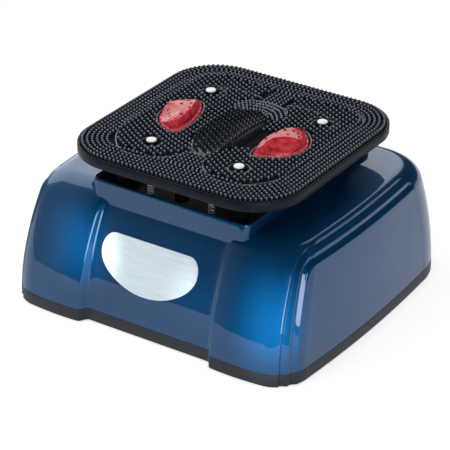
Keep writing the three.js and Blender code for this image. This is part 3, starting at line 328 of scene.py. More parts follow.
def corner_along(outline):
    """Arc length along the outline from the front corner's groove line, for both mirrored halves."""
    half = len(outline) // 2
    right = outline[: half + 1]
    steps = np.linalg.norm(np.diff(right, axis=0), axis=1)
    length = np.concatenate([[0], np.cumsum(steps)])
    start = length[np.argmin(np.linalg.norm(right - NOTCH, axis=1))]
    length -= start
    return np.concatenate([length, length[1:-1][::-1]])


def housing_rings():
    """The shell's outer face as rings, with the grooves pressed in along its normals."""
    outline = housing_outline()
    heights = wall_heights(PLINTH_TOP + SHELL_GAP, DECK, *SHELL_RINGS)
    rings = [housing_ring(outline, z, DECK) for z in heights]
    up, ups = 0.0, [0.0]
    for low, high in zip(heights, heights[1:]):
        run = drawn_in(high, "side", DECK) - drawn_in(low, "side", DECK)
        up += math.hypot(high - low, run)
        ups.append(up)
    grid = np.array(rings)
    along = np.broadcast_to(corner_along(outline), grid.shape[:2])
    up = np.broadcast_to(np.array(ups)[:, None], grid.shape[:2])
    depth = groove_depth(along, up, ups[-1] - GROOVE_DECK_REACH)
    across = np.roll(grid, -1, 1) - np.roll(grid, 1, 1)
    upward = np.gradient(grid, axis=0)
    normal = np.cross(across, upward)
    normal /= np.linalg.norm(normal, axis=2)[:, :, None]
    grid = grid - normal * depth[:, :, None]
    return [*grid, housing_ring(outline, DECK, DECK, DECK_INSET)]


def collar_body(inset, bottom, top, edge=0.0):
    """The collar's block, with a rounded upper edge where one is asked for."""
    outline = lambda more: rounded(*COLLAR, inset + more, 10)
    rings = [ring(outline(0), bottom)]
    for angle in np.radians((0, 30, 60, 90)) if edge else ():
        rings.append(ring(outline(edge * (1 - math.cos(angle))), top - edge * (1 - math.sin(angle))))
    if not edge:
        rings.append(ring(outline(0), top))
    return loft(rings)


def housing_body(material):
    body = boolean(loft(housing_rings()), collar_body(0, 100, COLLAR_TOP, COLLAR_EDGE), "UNION")
    coarse = inset_outline(housing_outline(COARSE), SHELL_WALL)
    ceiling = DECK - SHELL_WALL
    hollow = loft([
        housing_ring(coarse, max(z, 0), ceiling, HOLLOW_EXTRA) + [0, 0, min(z, 0)]
        for z in wall_heights(-20, ceiling, *HOLLOW_RINGS)
    ])
    for cutter in (hollow, collar_body(SHELL_WALL, 80, COLLAR_TOP + 20), box_body(*REAR_OPENING)):
        body = boolean(body, cutter, "DIFFERENCE")
    return add_object("housing_skin", *body, material)


# Plinth

PLINTH_EDGE = 0.8
PLINTH_WALL = 4.6
PLINTH_HOLLOW = (6.0, 30.0)
PILLAR_PLACE = (125, 100)
PILLAR = ((7, 5.5), (7, 59.7))  # radius and height at its foot and its head


def plinth_body(material):
    """The pan below the shell, with the grooves' notches and the pillars of the chassis plate."""
    outline = housing_outline()
    along = corner_along(outline)
    depth = groove_depth(along, np.zeros_like(along), 100.0)
    before = np.roll(outline, 1, 0)
    direction = np.roll(outline, -1, 0) - before
    direction /= np.linalg.norm(direction, axis=1)[:, None]
    outline = outline - np.column_stack([direction[:, 1], -direction[:, 0]]) * depth[:, None]
    profile = ((PLINTH_EDGE, PLINTH_BOTTOM), (0.2, PLINTH_BOTTOM + 0.25),
               (0, PLINTH_BOTTOM + PLINTH_EDGE), (0, PLINTH_TOP - 0.5), (0.5, PLINTH_TOP))
    rings = [housing_ring(inset_outline(outline, inset), height, DECK) for inset, height in profile]
    inner = inset_outline(housing_outline(COARSE), PLINTH_WALL)
    hollow = loft([housing_ring(inner, z, DECK) for z in PLINTH_HOLLOW])
    body = boolean(loft(rings), hollow, "DIFFERENCE")
    for sx, sy in ((-1, -1), (-1, 1), (1, -1), (1, 1)):
        pillar = lathe(PILLAR, sx * PILLAR_PLACE[0], sy * PILLAR_PLACE[1], 24)
        body = boolean(body, pillar, "UNION")
    return add_object("plinth_skin", *body, material)


# Foot plate

SPRING_BOSS = ((7, 206), (8, 207), (8, 219))  # radius and height pairs
BUFFER_BOSS = ((8.6, 200), (9.5, 201), (9.5, 219))
RIBS = ((0, 98, 166, 1.25), (118, 0, 1.25, 165))  # place and half size; each has a mirrored twin
RIB_HEIGHTS = (214.5, 219)


def plate_body(material):
    """The carrier with its rounded rim, the bosses for springs and buffers, and ribs below."""
    profile = ((5.5, SKIN_BOTTOM), (5.0, PLATE_BOTTOM + 0.4), (4.6, PLATE_BOTTOM), (1.5, PLATE_BOTTOM),
               (0.45, PLATE_BOTTOM + 0.45), (0, PLATE_BOTTOM + 1.5), (0, PLATE_TOP - 1.6),
               (0.35, PLATE_TOP - 0.6), (1.1, PLATE_TOP), (2.7, PLATE_TOP), (3.3, PLATE_TOP - 0.3),
               (3.5, PLATE_TOP - 1), (3.5, SKIN_TOP))
    body = loft([ring(rounded(*PLATE, inset, 30, 12), height) for inset, height in profile])
    for boss, places in ((SPRING_BOSS, (-SPRING_X, SPRING_X)), (BUFFER_BOSS, (-BUFFER_X, 0, BUFFER_X))):
        for x in places:
            for y in (-SPRING_Y, SPRING_Y):
                body = boolean(body, lathe(boss, x, y), "UNION")
    bottom, top = RIB_HEIGHTS
    for side in (-1, 1):
        for x, y, half_x, half_y in RIBS:
            rib = box_body((side * x - half_x, side * y - half_y, bottom),
                           (side * x + half_x, side * y + half_y, top))
            body = boolean(body, rib, "UNION")
    verts, faces = body
    return add_object("foot_plate_skin", verts + ON_PLATE, faces, material)


# Curves and distances

TUBE_SIDES = 8


def curve_tube(points, radius, closed=False):
    """A tube along points, as one closed shell. An open one has flat ends."""
    points = np.asarray(points, float)
    if closed:
        tangents = np.roll(points, -1, 0) - np.roll(points, 1, 0)
    else:
        tangents = np.gradient(points, axis=0)
    tangents /= np.linalg.norm(tangents, axis=1)[:, None]
    guide = np.array([0, 0, 1.0]) if abs(tangents[0][2]) < 0.9 else np.array([1.0, 0, 0])
    side = np.cross(tangents[0], guide)
    verts = []
    for point, tangent in zip(points, tangents):
        side = side - tangent * (side @ tangent)
        side /= np.linalg.norm(side)
        other = np.cross(tangent, side)
        for k in range(TUBE_SIDES):
            angle = TAU * k / TUBE_SIDES
            verts.append(point + radius * (math.cos(angle) * side + math.sin(angle) * other))
    faces = []
    count = len(points)
    for i in range(count if closed else count - 1):
        low, high = i * TUBE_SIDES, ((i + 1) % count) * TUBE_SIDES
        for k in range(TUBE_SIDES):
            j = (k + 1) % TUBE_SIDES
            faces.append([low + k, low + j, high + j, high + k])
    if not closed:
        faces.append(list(range(TUBE_SIDES))[::-1])
        faces.append(list(range((count - 1) * TUBE_SIDES, count * TUBE_SIDES)))
    return np.array(verts), faces


def smooth_path(corners, steps, closed=False):
    """A Catmull-Rom curve through the corners."""
    corners = np.asarray(corners, float)
    if closed:
        padded = np.concatenate([corners[-1:], corners, corners[:2]])
    else:
        before, after = 2 * corners[:1] - corners[1:2], 2 * corners[-1:] - corners[-2:-1]
        padded = np.concatenate([before, corners, after])
    points = []
    for a, b, c, d in zip(padded, padded[1:], padded[2:], padded[3:]):
        for k in range(steps):
            t = k / steps
            points.append(0.5 * (2 * b + (c - a) * t + (2 * a - 5 * b + 4 * c - d) * t**2
                                 + (3 * b - a - 3 * c + d) * t**3))
    if not closed:
        points.append(padded[-2])
    return np.array(points)


def inside(points, polygon):
    """Which points lie inside a polygon."""
    x, y = points[:, 0][:, None], points[:, 1][:, None]
    a, b = polygon, np.roll(polygon, -1, 0)
    crosses = (a[:, 1] > y) != (b[:, 1] > y)
    with np.errstate(divide="ignore", invalid="ignore"):
        edge = a[:, 0] + (y - a[:, 1]) / (b[:, 1] - a[:, 1]) * (b[:, 0] - a[:, 0])
    return (crosses & (x < edge)).sum(1) % 2 == 1


def distance_to(points, polygon):
    """Each point's distance to a polygon's edge."""
    a, b = polygon, np.roll(polygon, -1, 0)
    along = b - a
    offset = points[:, None] - a
    t = np.clip((offset * along).sum(2) / (along**2).sum(1), 0, 1)
    return np.linalg.norm(offset - t[..., None] * along, axis=2).min(1)


# Domes

def dome_outline(inset=0.0, steps=26):
    """The right dome's half-moon outline."""
    points = sampled(
        ([(62, -52), (90, -56), (143, -5), (84, 43)], steps),
        ([(84, 43), (66, 32), (49, -30), (62, -52)], steps),
    )[:-1]
    return inset_outline(points, inset) if inset else points


DOME_CREST = np.array([80.0, -7.0])
DOME_FRONT = np.array([0.776, -0.63])  # way that the outer face looks
DOME_ALONG = np.array([0.63, 0.776])
DOME_RISE = 15.7
DOME_HALF_LENGTH = 45
DOME_RINGS = 84
# Places, depth and width of the round holes on top and of the shallow marks on the outer face
DOME_DIPS = (
    (((75, 8), (69, -5), (85, -1), (100, 3), (84, 15), (67, -26), (92, 14)), 2.6, 1.9),
    (((86, -28), (97, -16), (106, -6), (82, -38), (92, -22)), 1.2, 1.5),
)
BEAD = ((1.3, 2.0), (1.3, 3.8), (1.0, 4.6), (0.4, 4.9))  # radius and height over the mat


def dome_height(points, outline):
    """Height over the mat: a flange, then a body rounded at its ends, steep inside, sloped outside."""
    edge = distance_to(points, outline)
    flange = 3.0 * smoothstep(0, 1.2, edge) - 1.2 * smoothstep(3.0, 4.2, edge)
    along = (points - DOME_CREST) @ DOME_ALONG
    reach = (points - DOME_CREST) @ DOME_FRONT
    end = np.clip(1 - np.abs((along + 3.3) / DOME_HALF_LENGTH) ** 2.6, 0, 1) ** 0.6
    wall = np.sqrt(1 - (1 - np.clip((edge - 2.6) / 5, 0, 1)) ** 2)
    body = DOME_RISE * end * wall
    ridge = 4.0 + 0.013 * (along + 10) ** 2
    slope = DOME_RISE - 0.62 * (reach - ridge)
    soft = 0.25
    rounded_body = -np.logaddexp(-body / soft, -slope / soft) * soft
    return flange + np.maximum(rounded_body, 0)


def dome_body(name, side, material):
    """One dome with its holes and a row of beads round the flange; the left one is mirrored."""
    outline = dome_outline(steps=64)
    rings = [ring(outline, SKIN_TOP + 0.3)]
    for share in 1 - np.linspace(0, 1, DOME_RINGS)[:-1] ** 1.1 * 0.985:
        flat = DOME_CREST + (outline - DOME_CREST) * share
        height = dome_height(flat, outline)
        for dips, depth, width in DOME_DIPS:
            for dip in dips:
                gap = np.linalg.norm(flat - dip, axis=1)
                height = height - depth * np.exp(-(gap / width) ** 4)
        rings.append(np.column_stack([flat, MAT_TOP + height]))
    verts, faces = loft(rings)
    bead = [(radius, MAT_TOP + height) for radius, height in BEAD]
    beads = [lathe(bead, x, y, 8) for x, y in dome_outline(2.0, 30)[::3]]
    verts, faces = merged((verts, faces), *beads)
    if side < 0:
        verts = verts * [-1, 1, 1]
        faces = [face[::-1] for face in faces]
    return add_object(name, verts + ON_PLATE, faces, material, 50)


# Massage mat

CAPS = [(-CAP_FRONT[0], CAP_FRONT[1]), CAP_FRONT, CAP_BACK, (-CAP_BACK[0], CAP_BACK[1])]
# Outline of the left sole's zone
FOOT_ZONE = smooth_path([(-20, 140), (-58, 147), (-104, 141), (-134, 108), (-140, 50), (-138, -30),
                         (-128, -88), (-98, -128), (-62, -136), (-30, -118), (-14, -92), (-10, -70),
                         (-16, 60), (-20, 100)], 6, True)
ZONE_RISE = 1.6
HUMP_HALF = (38, 78)
HUMP_Y = -12
HUMP_RISE = 9.0
FAN_Y, FAN_HALF_DEPTH = -8, 62  # the arcs of nubs behind the hump
CAP_STEM = ((10, SKIN_TOP + 2), (10, CAP_SEAT - 1.3), (9.3, CAP_SEAT - 0.5), (7.6, CAP_SEAT - 0.3))


def mat_outline(inset=0.0):
    return rounded(*PLATE, MAT_INSET + inset, 24, 26)


def mirrored_left(points):
    return np.column_stack([-np.abs(points[:, 0]), points[:, 1]])


def hump_share(x, y, middle=HUMP_Y, half_depth=HUMP_HALF[1]):
    """How far out from the hump's middle, where its edge is 1."""
    return np.hypot(x / HUMP_HALF[0], (y - middle) / half_depth)


def hump_lift(x, y):
    out = hump_share(x, y)
    return np.where(out < 1, HUMP_RISE * np.cos(np.minimum(out, 1) * math.pi / 2) ** 0.8, 0)


def mat_height(points):
    """The mat's surface: flat, a little raised in the zones of the soles, swelling in the middle."""
    mirrored = mirrored_left(points)
    depth = np.where(inside(mirrored, FOOT_ZONE), distance_to(mirrored, FOOT_ZONE), 0)
    return MAT_TOP + ZONE_RISE * smoothstep(0, 3.5, depth) + hump_lift(*points.T)


def mat_slab():
    """The sheet below the nubs, with a hole for each dome."""
    outline, inner = mat_outline(), mat_outline(0.8)
    rings = [ring(outline, SKIN_TOP + 0.3), ring(outline, MAT_TOP - 0.8), ring(inner, MAT_TOP)]
    for share in np.linspace(0.985, 0.02, 74):
        flat = inner * share
        rings.append(np.column_stack([flat, mat_height(flat)]))
    slab = loft(rings)
    hole = dome_outline(-0.6)
    for flip in (1, -1):
        outline = (hole * [flip, 1])[::flip]
        slab = boolean(slab, loft([ring(outline, 200), ring(outline, 240)]), "DIFFERENCE")
    return slab


NUB_PITCH = 6.7
NUB = (1.95, 4.4)  # radius and height
BORDER_ROWS = 6
BORDER_INSET, BORDER_STEP, BORDER_END = 3.1, 6.6, 39.5
ZONE_PITCH = 8.4
COLUMN_SHARE = 0.87  # of the pitch, between two columns of a zone
ZONE_NUB = (2.0, 4.9)
FAN_NUB = (2.1, 4.6)
SPIKE_PITCH = (7.2, 8.8)
SPIKE = (1.8, 7.2)
CAP_CLEARANCE = 14
# The nub's shape, as shares of its radius and height
NUB_PROFILE = ((1.22, -0.9), (1.05, 0.1), (0.97, 0.6), (0.88, 0.84), (0.66, 0.96), (0.25, 1.0))
NUB_SIDES = 10


def border_nubs():
    """Rows that follow the mat's edge."""
    places = []
    for row in range(BORDER_ROWS):
        path = mat_outline(BORDER_INSET + BORDER_STEP * row)
        steps = np.linalg.norm(np.roll(path, -1, 0) - path, axis=1)
        length = np.concatenate([[0], np.cumsum(steps)])
        count = round(length[-1] / NUB_PITCH)
        at = np.arange(count) * length[-1] / count
        closed = np.concatenate([path, path[:1]])
        x, y = (np.interp(at, length, closed[:, axis]) for axis in (0, 1))
        places += [(a, b, *NUB) for a, b in zip(x, y)]
    return places


def straight_nubs(border):
    """The square grid between the zones, in front of and behind the hump."""
    grid = np.array([(i * NUB_PITCH, j * NUB_PITCH) for i in range(-12, 13) for j in range(-24, 25)])
    chosen = inside(grid, border) & ~inside(mirrored_left(grid), FOOT_ZONE)
    chosen &= np.abs(grid[:, 1] + 10) > 82
    return [(a, b, *NUB) for a, b in grid[chosen]]


def zone_nubs(border):
    """Bent, staggered columns in the zones, left out on the hump, its bare flank and the fan."""
    grid = []
    for i in range(-19, 20):
        x = i * ZONE_PITCH * COLUMN_SHARE
        bend = 0.0016 * (abs(x) - 78) ** 2
        grid += [(x, (j + 0.5 * (i % 2)) * ZONE_PITCH + bend) for j in range(-19, 20)]
    grid = np.array(grid)
    x, y = grid.T
    mirror = mirrored_left(grid)
    chosen = inside(mirror, FOOT_ZONE) & (distance_to(mirror, FOOT_ZONE) > 3.2) & inside(grid, border)
    chosen |= (mirror[:, 0] > -26) & (y > -88) & (y < 46)
    bare = (x > 20) & (hump_share(x, y) < 1.4) & (np.abs(y + 16) < 30)
    raised = hump_lift(x, y) > 1.2
    fan = (y > 44) & (np.abs(x) < 42) & (hump_share(x, y, FAN_Y, FAN_HALF_DEPTH) < 1.66)
    return [(a, b, *ZONE_NUB) for a, b in grid[chosen & ~bare & ~raised & ~fan]]


def fan_nubs():
    """Five arcs behind the hump."""
    places = []
    for reach in 1.06 + 0.13 * np.arange(5):
        for angle in np.radians(np.linspace(38, 142, round(16 * reach) + 1)):
            x = HUMP_HALF[0] * reach * math.cos(angle)
            y = FAN_Y + FAN_HALF_DEPTH * reach * math.sin(angle)
            if y > 46 and abs(x) < 40:
                places.append((x, y, *FAN_NUB))
    return places


def spike_nubs():
    """Tall thin nubs on the hump."""
    wide, deep = SPIKE_PITCH
    spikes = [(i * wide, -84 + (j + 0.5 * (i % 2)) * deep) for j in range(17) for i in range(-4, 5)]
    return [(a, b, *SPIKE) for a, b in spikes if hump_lift(a, b) > 1.8 and (a < 22 or b < -46)]


def nub_places():
    """All nubs as (x, y, radius, height), with room for the caps and the domes."""
    border = mat_outline(BORDER_END)
    places = border_nubs() + straight_nubs(border) + zone_nubs(border) + fan_nubs() + spike_nubs()
    places = np.array(places)
    keep = np.ones(len(places), bool)
    for x, y in CAPS:
        keep &= np.hypot(places[:, 0] - x, places[:, 1] - y) > CAP_CLEARANCE
    side = np.column_stack([np.abs(places[:, 0]), places[:, 1]])
    keep &= ~inside(side, dome_outline(-4.0))
    return places[keep]


def mat_body(material):
    """The slab and the stems below the caps."""
    verts, faces = merged(mat_slab(), *(lathe(CAP_STEM, x, y, 32) for x, y in CAPS))
    return add_object("mat_skin", verts + ON_PLATE, faces, material, 50)


def nubs_body(material):
    """All nubs and ridges. A vertex attribute holds how far up its nub each vertex lies; the rubber
    paints shade low on the nubs and a highlight high up from it.
    """
    parts, painted_tip_lights = [], []
    places = nub_places()
    nub_verts, nub_faces = lathe(NUB_PROFILE, 0, 0, NUB_SIDES)
    rise = nub_verts[:, 2]
    for (x, y, radius, height), base in zip(places, mat_height(places[:, :2])):
        verts = nub_verts * [radius, radius, height] + [x, y, base]
        verts[rise < 0, 2] = base - 1.2
        parts.append((verts, nub_faces))
        # Painted light: the share up the nub sets painted shade low and a painted highlight high up;
        # spikes get a third of it.
        painted_tip_lights.append(np.clip(rise, 0, 1) * (0.3 if height == SPIKE[1] else 1.0))
    for path, radius, closed in mat_ridges():
        flat = np.asarray(path, float)
        tube = curve_tube(np.column_stack([flat, mat_height(flat) + 0.25 * radius]), radius, closed)
        parts.append(tube)
        # Ridges are painted nearly as pale as the nubs' upper ends, a painted highlight.
        painted_tip_lights.append(np.full(len(tube[0]), 0.9))
    verts, faces = merged(*parts)
    obj = add_object("mat_nubs", verts + ON_PLATE, faces, material, 60)
    obj.data.attributes.new("painted_tip_light", "FLOAT", "POINT").data.foreach_set("value", np.concatenate(painted_tip_lights))
    return obj


def hump_body(material):
    """The smooth swelling in the middle of the mat, a little over the slab's own surface."""
    edge = circle(96) * HUMP_HALF
    rings = [ring(edge * 0.985 + [0, HUMP_Y], MAT_TOP - 1)]
    for share in (0.985, *np.linspace(0.96, 0.02, 40)):
        flat = edge * share + [0, HUMP_Y]
        rings.append(np.column_stack([flat, mat_height(flat) + 0.25]))
    verts, faces = loft(rings)
    return add_object("mat_hump", verts + ON_PLATE, faces, material, 50)


def arc(middle, radius, start, end, count):
    angles = np.radians(np.linspace(start, end, count))
    return middle + radius * np.column_stack([np.cos(angles), np.sin(angles)])


def mat_ridges():
    """Thin raised lines on the mat as (path, radius, closed)."""
    ridges = []
    for side in (-1, 1):
        flip = np.array([-side, 1])
        ridges.append((FOOT_ZONE[:66] * flip, 1.2, False))
        for path, radius in (([(-20, 100), (-34, 103), (-58, 104), (-80, 100)], 1.2),
                             ([(-40, 60), (-30, 84), (-16, 92), (0, 94)], 1.0)):
            ridges.append((smooth_path(path, 6) * flip, radius, False))
        for radius in (14.5, 21):
            ridges.append((arc(CAP_BACK, radius, -60, 210, 34) * [side, 1], 1.0, False))
        ridges.append((arc(CAP_FRONT, 14.5, 0, 350, 36) * [side, 1], 1.0, False))
        ridges.append((dome_outline(-3.0) * [side, 1], 1.1, True))
    return ridges


# Small pieces

# Radius and height pairs
CAP_PROFILE = ((3, 216), (3, 231), (6.6, 231), (7, 231.4), (7, 232.3), (6.7, 232.9), (6.0, 233.4),
               (4.6, 233.7), (2.4, 233.78), (1.2, 233.8))
BUFFER_PROFILE = ((6.9, 175), (8.3, 175.3), (9.1, 176), (9.5, 177.2), (9.5, 184), (8.9, 185),
                  (8.9, 187), (9.5, 188), (9.5, 198.9), (9.2, 199.7))
WIRE_RADIUS = 0.8
COIL_RADIUS = 3.9
COIL_TURNS = 9.5
COIL_STEPS = 18  # a turn
COIL_SEATS = (169.6, 205.7)


def turned_body(name, profile, x, y, material):
    verts, faces = lathe(profile, x, y, 36)
    return add_object(name, verts + ON_PLATE, faces, material)


def spring_body(name, x, y, material):
    """A coil that leans one throw towards the plate's place, with closer turns at both ends."""
    low, high = COIL_SEATS[0] + WIRE_RADIUS, COIL_SEATS[1] - WIRE_RADIUS
    t = np.linspace(0, 1, int(COIL_TURNS * COIL_STEPS) + 1)
    angle = TAU * COIL_TURNS * t
    rise = np.interp(t, [0, 0.09, 0.91, 1], [0, 0.045, 0.955, 1])
    path = np.column_stack([x + THROW * t + COIL_RADIUS * np.cos(angle), y + COIL_RADIUS * np.sin(angle),
                            low + (high - low) * rise])
    return add_object(name, *curve_tube(path, WIRE_RADIUS), material, 60)


# Bare plate on the front

BADGE_MIDDLE = (-10.0, 96.0)
BADGE_HALF = 75.5
BADGE_FLAT = 57.0  # half the straight upper edge
BADGE_TOP, BADGE_WIDE, BADGE_BOTTOM = 128.0, 106.0, 60.0


def panel_point(x, z, out):
    """A point over the centre panel, by its place across and its height, out from the surface."""
    wall_top, lean = WALLS["front"]
    share = (HALF_DEPTH - CENTRE_SETBACK) / HALF_DEPTH
    y = -share * (HALF_DEPTH - lean * (z / wall_top) ** 2)
    slope = share * 2 * lean * z / wall_top**2
    length = np.sqrt(1 + slope**2)
    return np.column_stack([x, y - out / length, z + out * slope / length])


def badge_body(material):
    """A thin bowl-shaped plate that follows the panel, with a fine bevel."""
    half, flat, top, wide, bottom = BADGE_HALF, BADGE_FLAT, BADGE_TOP, BADGE_WIDE, BADGE_BOTTOM
    right = sampled(
        ([(0, bottom), (0.5 * half, bottom), (half, wide - 0.5 * (wide - bottom)), (half, wide)], 30),
        ([(half, wide), (half, wide + 13), (flat + 12, top), (flat, top)], 14),
        ([(flat, top), (0, top)], 16),
    )
    outline = np.concatenate([right, (right[1:-1] * [-1, 1])[::-1]])
    centre = np.array([0, BADGE_MIDDLE[1]])
    rings = []
    for share, out in ((0.1, 0.3), (0.4, 0.3), (0.7, 0.3), (1, 0.3), (1, 1.25), (0.994, 1.5), (0.8, 1.5),
                       (0.6, 1.5), (0.4, 1.5), (0.2, 1.5), (0.05, 1.5)):
        across, height = (centre + (outline - centre) * share).T
        rings.append(panel_point(across + BADGE_MIDDLE[0], height, out))
    return add_object("badge_skin", *loft(rings), material)


# Materials

COOL = (0.76, 0.86, 1.0)  # tint of the black rubber's gloss
GRAIN = 900.0  # of moulded rubber and plastic


def new_material(name):
    material = bpy.data.materials.new(name)
    material.use_nodes = True
    nodes, links = material.node_tree.nodes, material.node_tree.links
    return material, nodes, links, nodes["Principled BSDF"]


def tune(node, **values):
    """Sets a node's inputs, named with underscores for their spaces."""
    for name, value in values.items():
        node.inputs[name.replace("_", " ")].default_value = value


def noise(nodes, links, scale, detail, stretch=(1, 1, 1), distortion=0.0):
    where = nodes.new("ShaderNodeTexCoord")
    mapping = nodes.new("ShaderNodeMapping")
    texture = nodes.new("ShaderNodeTexNoise")
    tune(mapping, Scale=stretch)
    tune(texture, Scale=scale, Detail=detail, Distortion=distortion)
    links.new(where.outputs["Object"], mapping.inputs["Vector"])
    links.new(mapping.outputs["Vector"], texture.inputs["Vector"])
    return texture.outputs["Fac"]


def ramp(nodes, links, value, low, high, low_colour, high_colour):
    node = nodes.new("ShaderNodeValToRGB")
    for stop, place, colour in zip(node.color_ramp.elements, (low, high), (low_colour, high_colour)):
        stop.position = place
        stop.color = (*colour, 1)
    links.new(value, node.inputs["Fac"])
    return node.outputs["Color"]


def ranged(nodes, links, value, low, high, source=(0, 1), how="LINEAR"):
    node = nodes.new("ShaderNodeMapRange")
    node.interpolation_type = how
    tune(node, From_Min=source[0], From_Max=source[1], To_Min=low, To_Max=high)
    links.new(value, node.inputs["Value"])
    return node.outputs["Result"]


def mixed(nodes, links, first, second, share):
    """Two colours mixed; the second and the share may be values or node outputs."""
    node = nodes.new("ShaderNodeMix")
    node.data_type = "RGBA"
    links.new(first, node.inputs["A"])
    for name, value in (("B", second), ("Factor", share)):
        if isinstance(value, bpy.types.NodeSocket):
            links.new(value, node.inputs[name])
        else:
            tune(node, **{name: value})
    return node.outputs["Result"]


def bump(nodes, links, normal, height, strength, distance):
    node = nodes.new("ShaderNodeBump")
    tune(node, Strength=strength, Distance=distance)
    links.new(height, node.inputs["Height"])
    links.new(node.outputs["Normal"], normal)


def plastic(name, dark, light, roughness, specular=0.5, patch=14.0, tint=(1, 1, 1)):
    """Moulded plastic or rubber: a slow colour drift, a fine moulded grain and uneven gloss."""
    material, nodes, links, bsdf = new_material(name)
    drift = noise(nodes, links, patch, 4)
    links.new(ramp(nodes, links, drift, 0.35, 0.65, dark, light), bsdf.inputs["Base Color"])
    links.new(ranged(nodes, links, drift, roughness - 0.06, roughness + 0.06), bsdf.inputs["Roughness"])
    tune(bsdf, Specular_IOR_Level=specular, Specular_Tint=(*tint, 1))
    bump(nodes, links, bsdf.inputs["Normal"], noise(nodes, links, GRAIN, 2), 0.35, 0.00005)
    return material


def metal(name, colour, roughness, scale, metallic):
    """Metal with a fine grain in its colour, its gloss and its surface."""
    material, nodes, links, bsdf = new_material(name)
    grain = noise(nodes, links, scale, 3)
    darker = tuple(0.82 * c for c in colour)
    links.new(ramp(nodes, links, grain, 0.3, 0.7, darker, colour), bsdf.inputs["Base Color"])
    links.new(ranged(nodes, links, grain, roughness - 0.08, roughness + 0.08), bsdf.inputs["Roughness"])
    tune(bsdf, Metallic=metallic)
    bump(nodes, links, bsdf.inputs["Normal"], grain, 0.3, 0.00002)
    return material


def nub_rubber():
    """Black rubber, matt low down and smoother higher up, its colour carrying painted shade between the
    nubs and a painted highlight that makes their upper ends paler.
    """
    material, nodes, links, bsdf = new_material("nub_rubber")
    # The vertex attribute, varied at random by noise, sets the painted light of each nub.
    painted_tip_light = nodes.new("ShaderNodeAttribute")
    painted_tip_light.attribute_name = "painted_tip_light"
    level = nodes.new("ShaderNodeMath")
    level.operation = "MULTIPLY"
    links.new(painted_tip_light.outputs["Fac"], level.inputs[0])
    links.new(ranged(nodes, links, noise(nodes, links, 90, 3), 0.8, 1.2), level.inputs[1])
    height = level.outputs[0]
    # Painted shade, near black, at the nubs' feet; painted highlight, pale blue-grey, at their upper
    # ends.
    colour = ramp(nodes, links, height, 0.42, 1.0, (0.002, 0.0025, 0.004), (0.108, 0.128, 0.176))
    links.new(colour, bsdf.inputs["Base Color"])
    links.new(ranged(nodes, links, height, 0.6, 0.26), bsdf.inputs["Roughness"])
    tune(bsdf, IOR=1.9, Specular_Tint=(*COOL, 1))
    bump(nodes, links, bsdf.inputs["Normal"], noise(nodes, links, GRAIN, 2), 0.3, 0.00005)
    return material


def brushed(name, dark, light, roughness):
    """A satin film with fine strokes along X."""
    material, nodes, links, bsdf = new_material(name)
    strokes = noise(nodes, links, 60, 6, (0.5, 1, 14), 0.4)
    links.new(ramp(nodes, links, strokes, 0.36, 0.6, dark, light), bsdf.inputs["Base Color"])
    links.new(ranged(nodes, links, strokes, roughness - 0.1, roughness + 0.1), bsdf.inputs["Roughness"])
    bump(nodes, links, bsdf.inputs["Normal"], strokes, 0.2, 0.00002)
    return material


def dome_plastic():
    """Clear red plastic: a deep body, a rosy band on the low flange that is a painted highlight, a fine
    frosted grain.
    """
    material, nodes, links, bsdf = new_material("dome_red")
    drift = noise(nodes, links, 130, 4)
    deep = ramp(nodes, links, drift, 0.35, 0.65, (0.34, 0.012, 0.018), (0.70, 0.05, 0.07))
    split = nodes.new("ShaderNodeSeparateXYZ")
    links.new(nodes.new("ShaderNodeTexCoord").outputs["Object"], split.inputs["Vector"])
    # Painted highlight: below a set height the flange is mixed towards rosy red, as if it caught the
    # light.
    rim = ranged(nodes, links, split.outputs["Z"], 0.9, 0, (0.2298, 0.2315), "SMOOTHSTEP")
    links.new(mixed(nodes, links, deep, (0.95, 0.13, 0.15, 1), rim), bsdf.inputs["Base Color"])
    fine = noise(nodes, links, 260, 3)
    links.new(ranged(nodes, links, fine, 0.1, 0.3), bsdf.inputs["Roughness"])
    tune(bsdf, IOR=1.6, Subsurface_Weight=0.25, Subsurface_Radius=(1.0, 0.12, 0.12),
         Subsurface_Scale=0.004)
    bump(nodes, links, bsdf.inputs["Normal"], fine, 0.5, 0.0004)
    return material


def blue_paint():
    """Metallic blue under a clear coat: fine flakes, a faint drift of colour, a little orange peel."""
    material, nodes, links, bsdf = new_material("blue_paint")
    flakes = noise(nodes, links, 1500, 2)
    drift = noise(nodes, links, 9, 3)
    base = ramp(nodes, links, drift, 0.3, 0.7, (0.0015, 0.056, 0.168), (0.0022, 0.067, 0.198))
    flaked = ramp(nodes, links, flakes, 0.45, 0.7, (0.002, 0.05, 0.13), (0.008, 0.14, 0.34))
    links.new(mixed(nodes, links, base, flaked, 0.15), bsdf.inputs["Base Color"])
    links.new(ranged(nodes, links, flakes, 0.38, 0.46), bsdf.inputs["Roughness"])
    tune(bsdf, Metallic=0.6, Specular_IOR_Level=0.0, Coat_Weight=1.0, Coat_Roughness=0.03,
         Coat_IOR=1.55)
    bump(nodes, links, bsdf.inputs["Normal"], noise(nodes, links, 60, 1), 0.05, 0.0002)
    bump(nodes, links, bsdf.inputs["Coat Normal"], noise(nodes, links, 22, 2), 0.5, 0.0004)
    return material


# Two colours, roughness, specular level, size of the patches, tint of the gloss
PLASTICS = {
    "plinth_grey": ((0.020, 0.025, 0.034), (0.028, 0.033, 0.044), 0.45, 0.3),
    "plate_black": ((0.004, 0.0055, 0.011), (0.007, 0.0085, 0.015), 0.42, 0.2, 14, COOL),
    "black_plastic": ((0.010, 0.011, 0.012), (0.016, 0.017, 0.018), 0.5),
    "rubber_black": ((0.003, 0.0035, 0.0055), (0.005, 0.006, 0.009), 0.7, 0.06, 14, COOL),
    "hump_rubber": ((0.004, 0.0045, 0.0065), (0.008, 0.009, 0.013), 0.16, 0.6, 60, COOL),
    "board_green": ((0.02, 0.12, 0.06), (0.03, 0.16, 0.08), 0.35),
    "rocker_red": ((0.50, 0.02, 0.02), (0.58, 0.03, 0.03), 0.22),
    "cap_white": ((0.92, 0.92, 0.91), (0.97, 0.97, 0.96), 0.25),
}
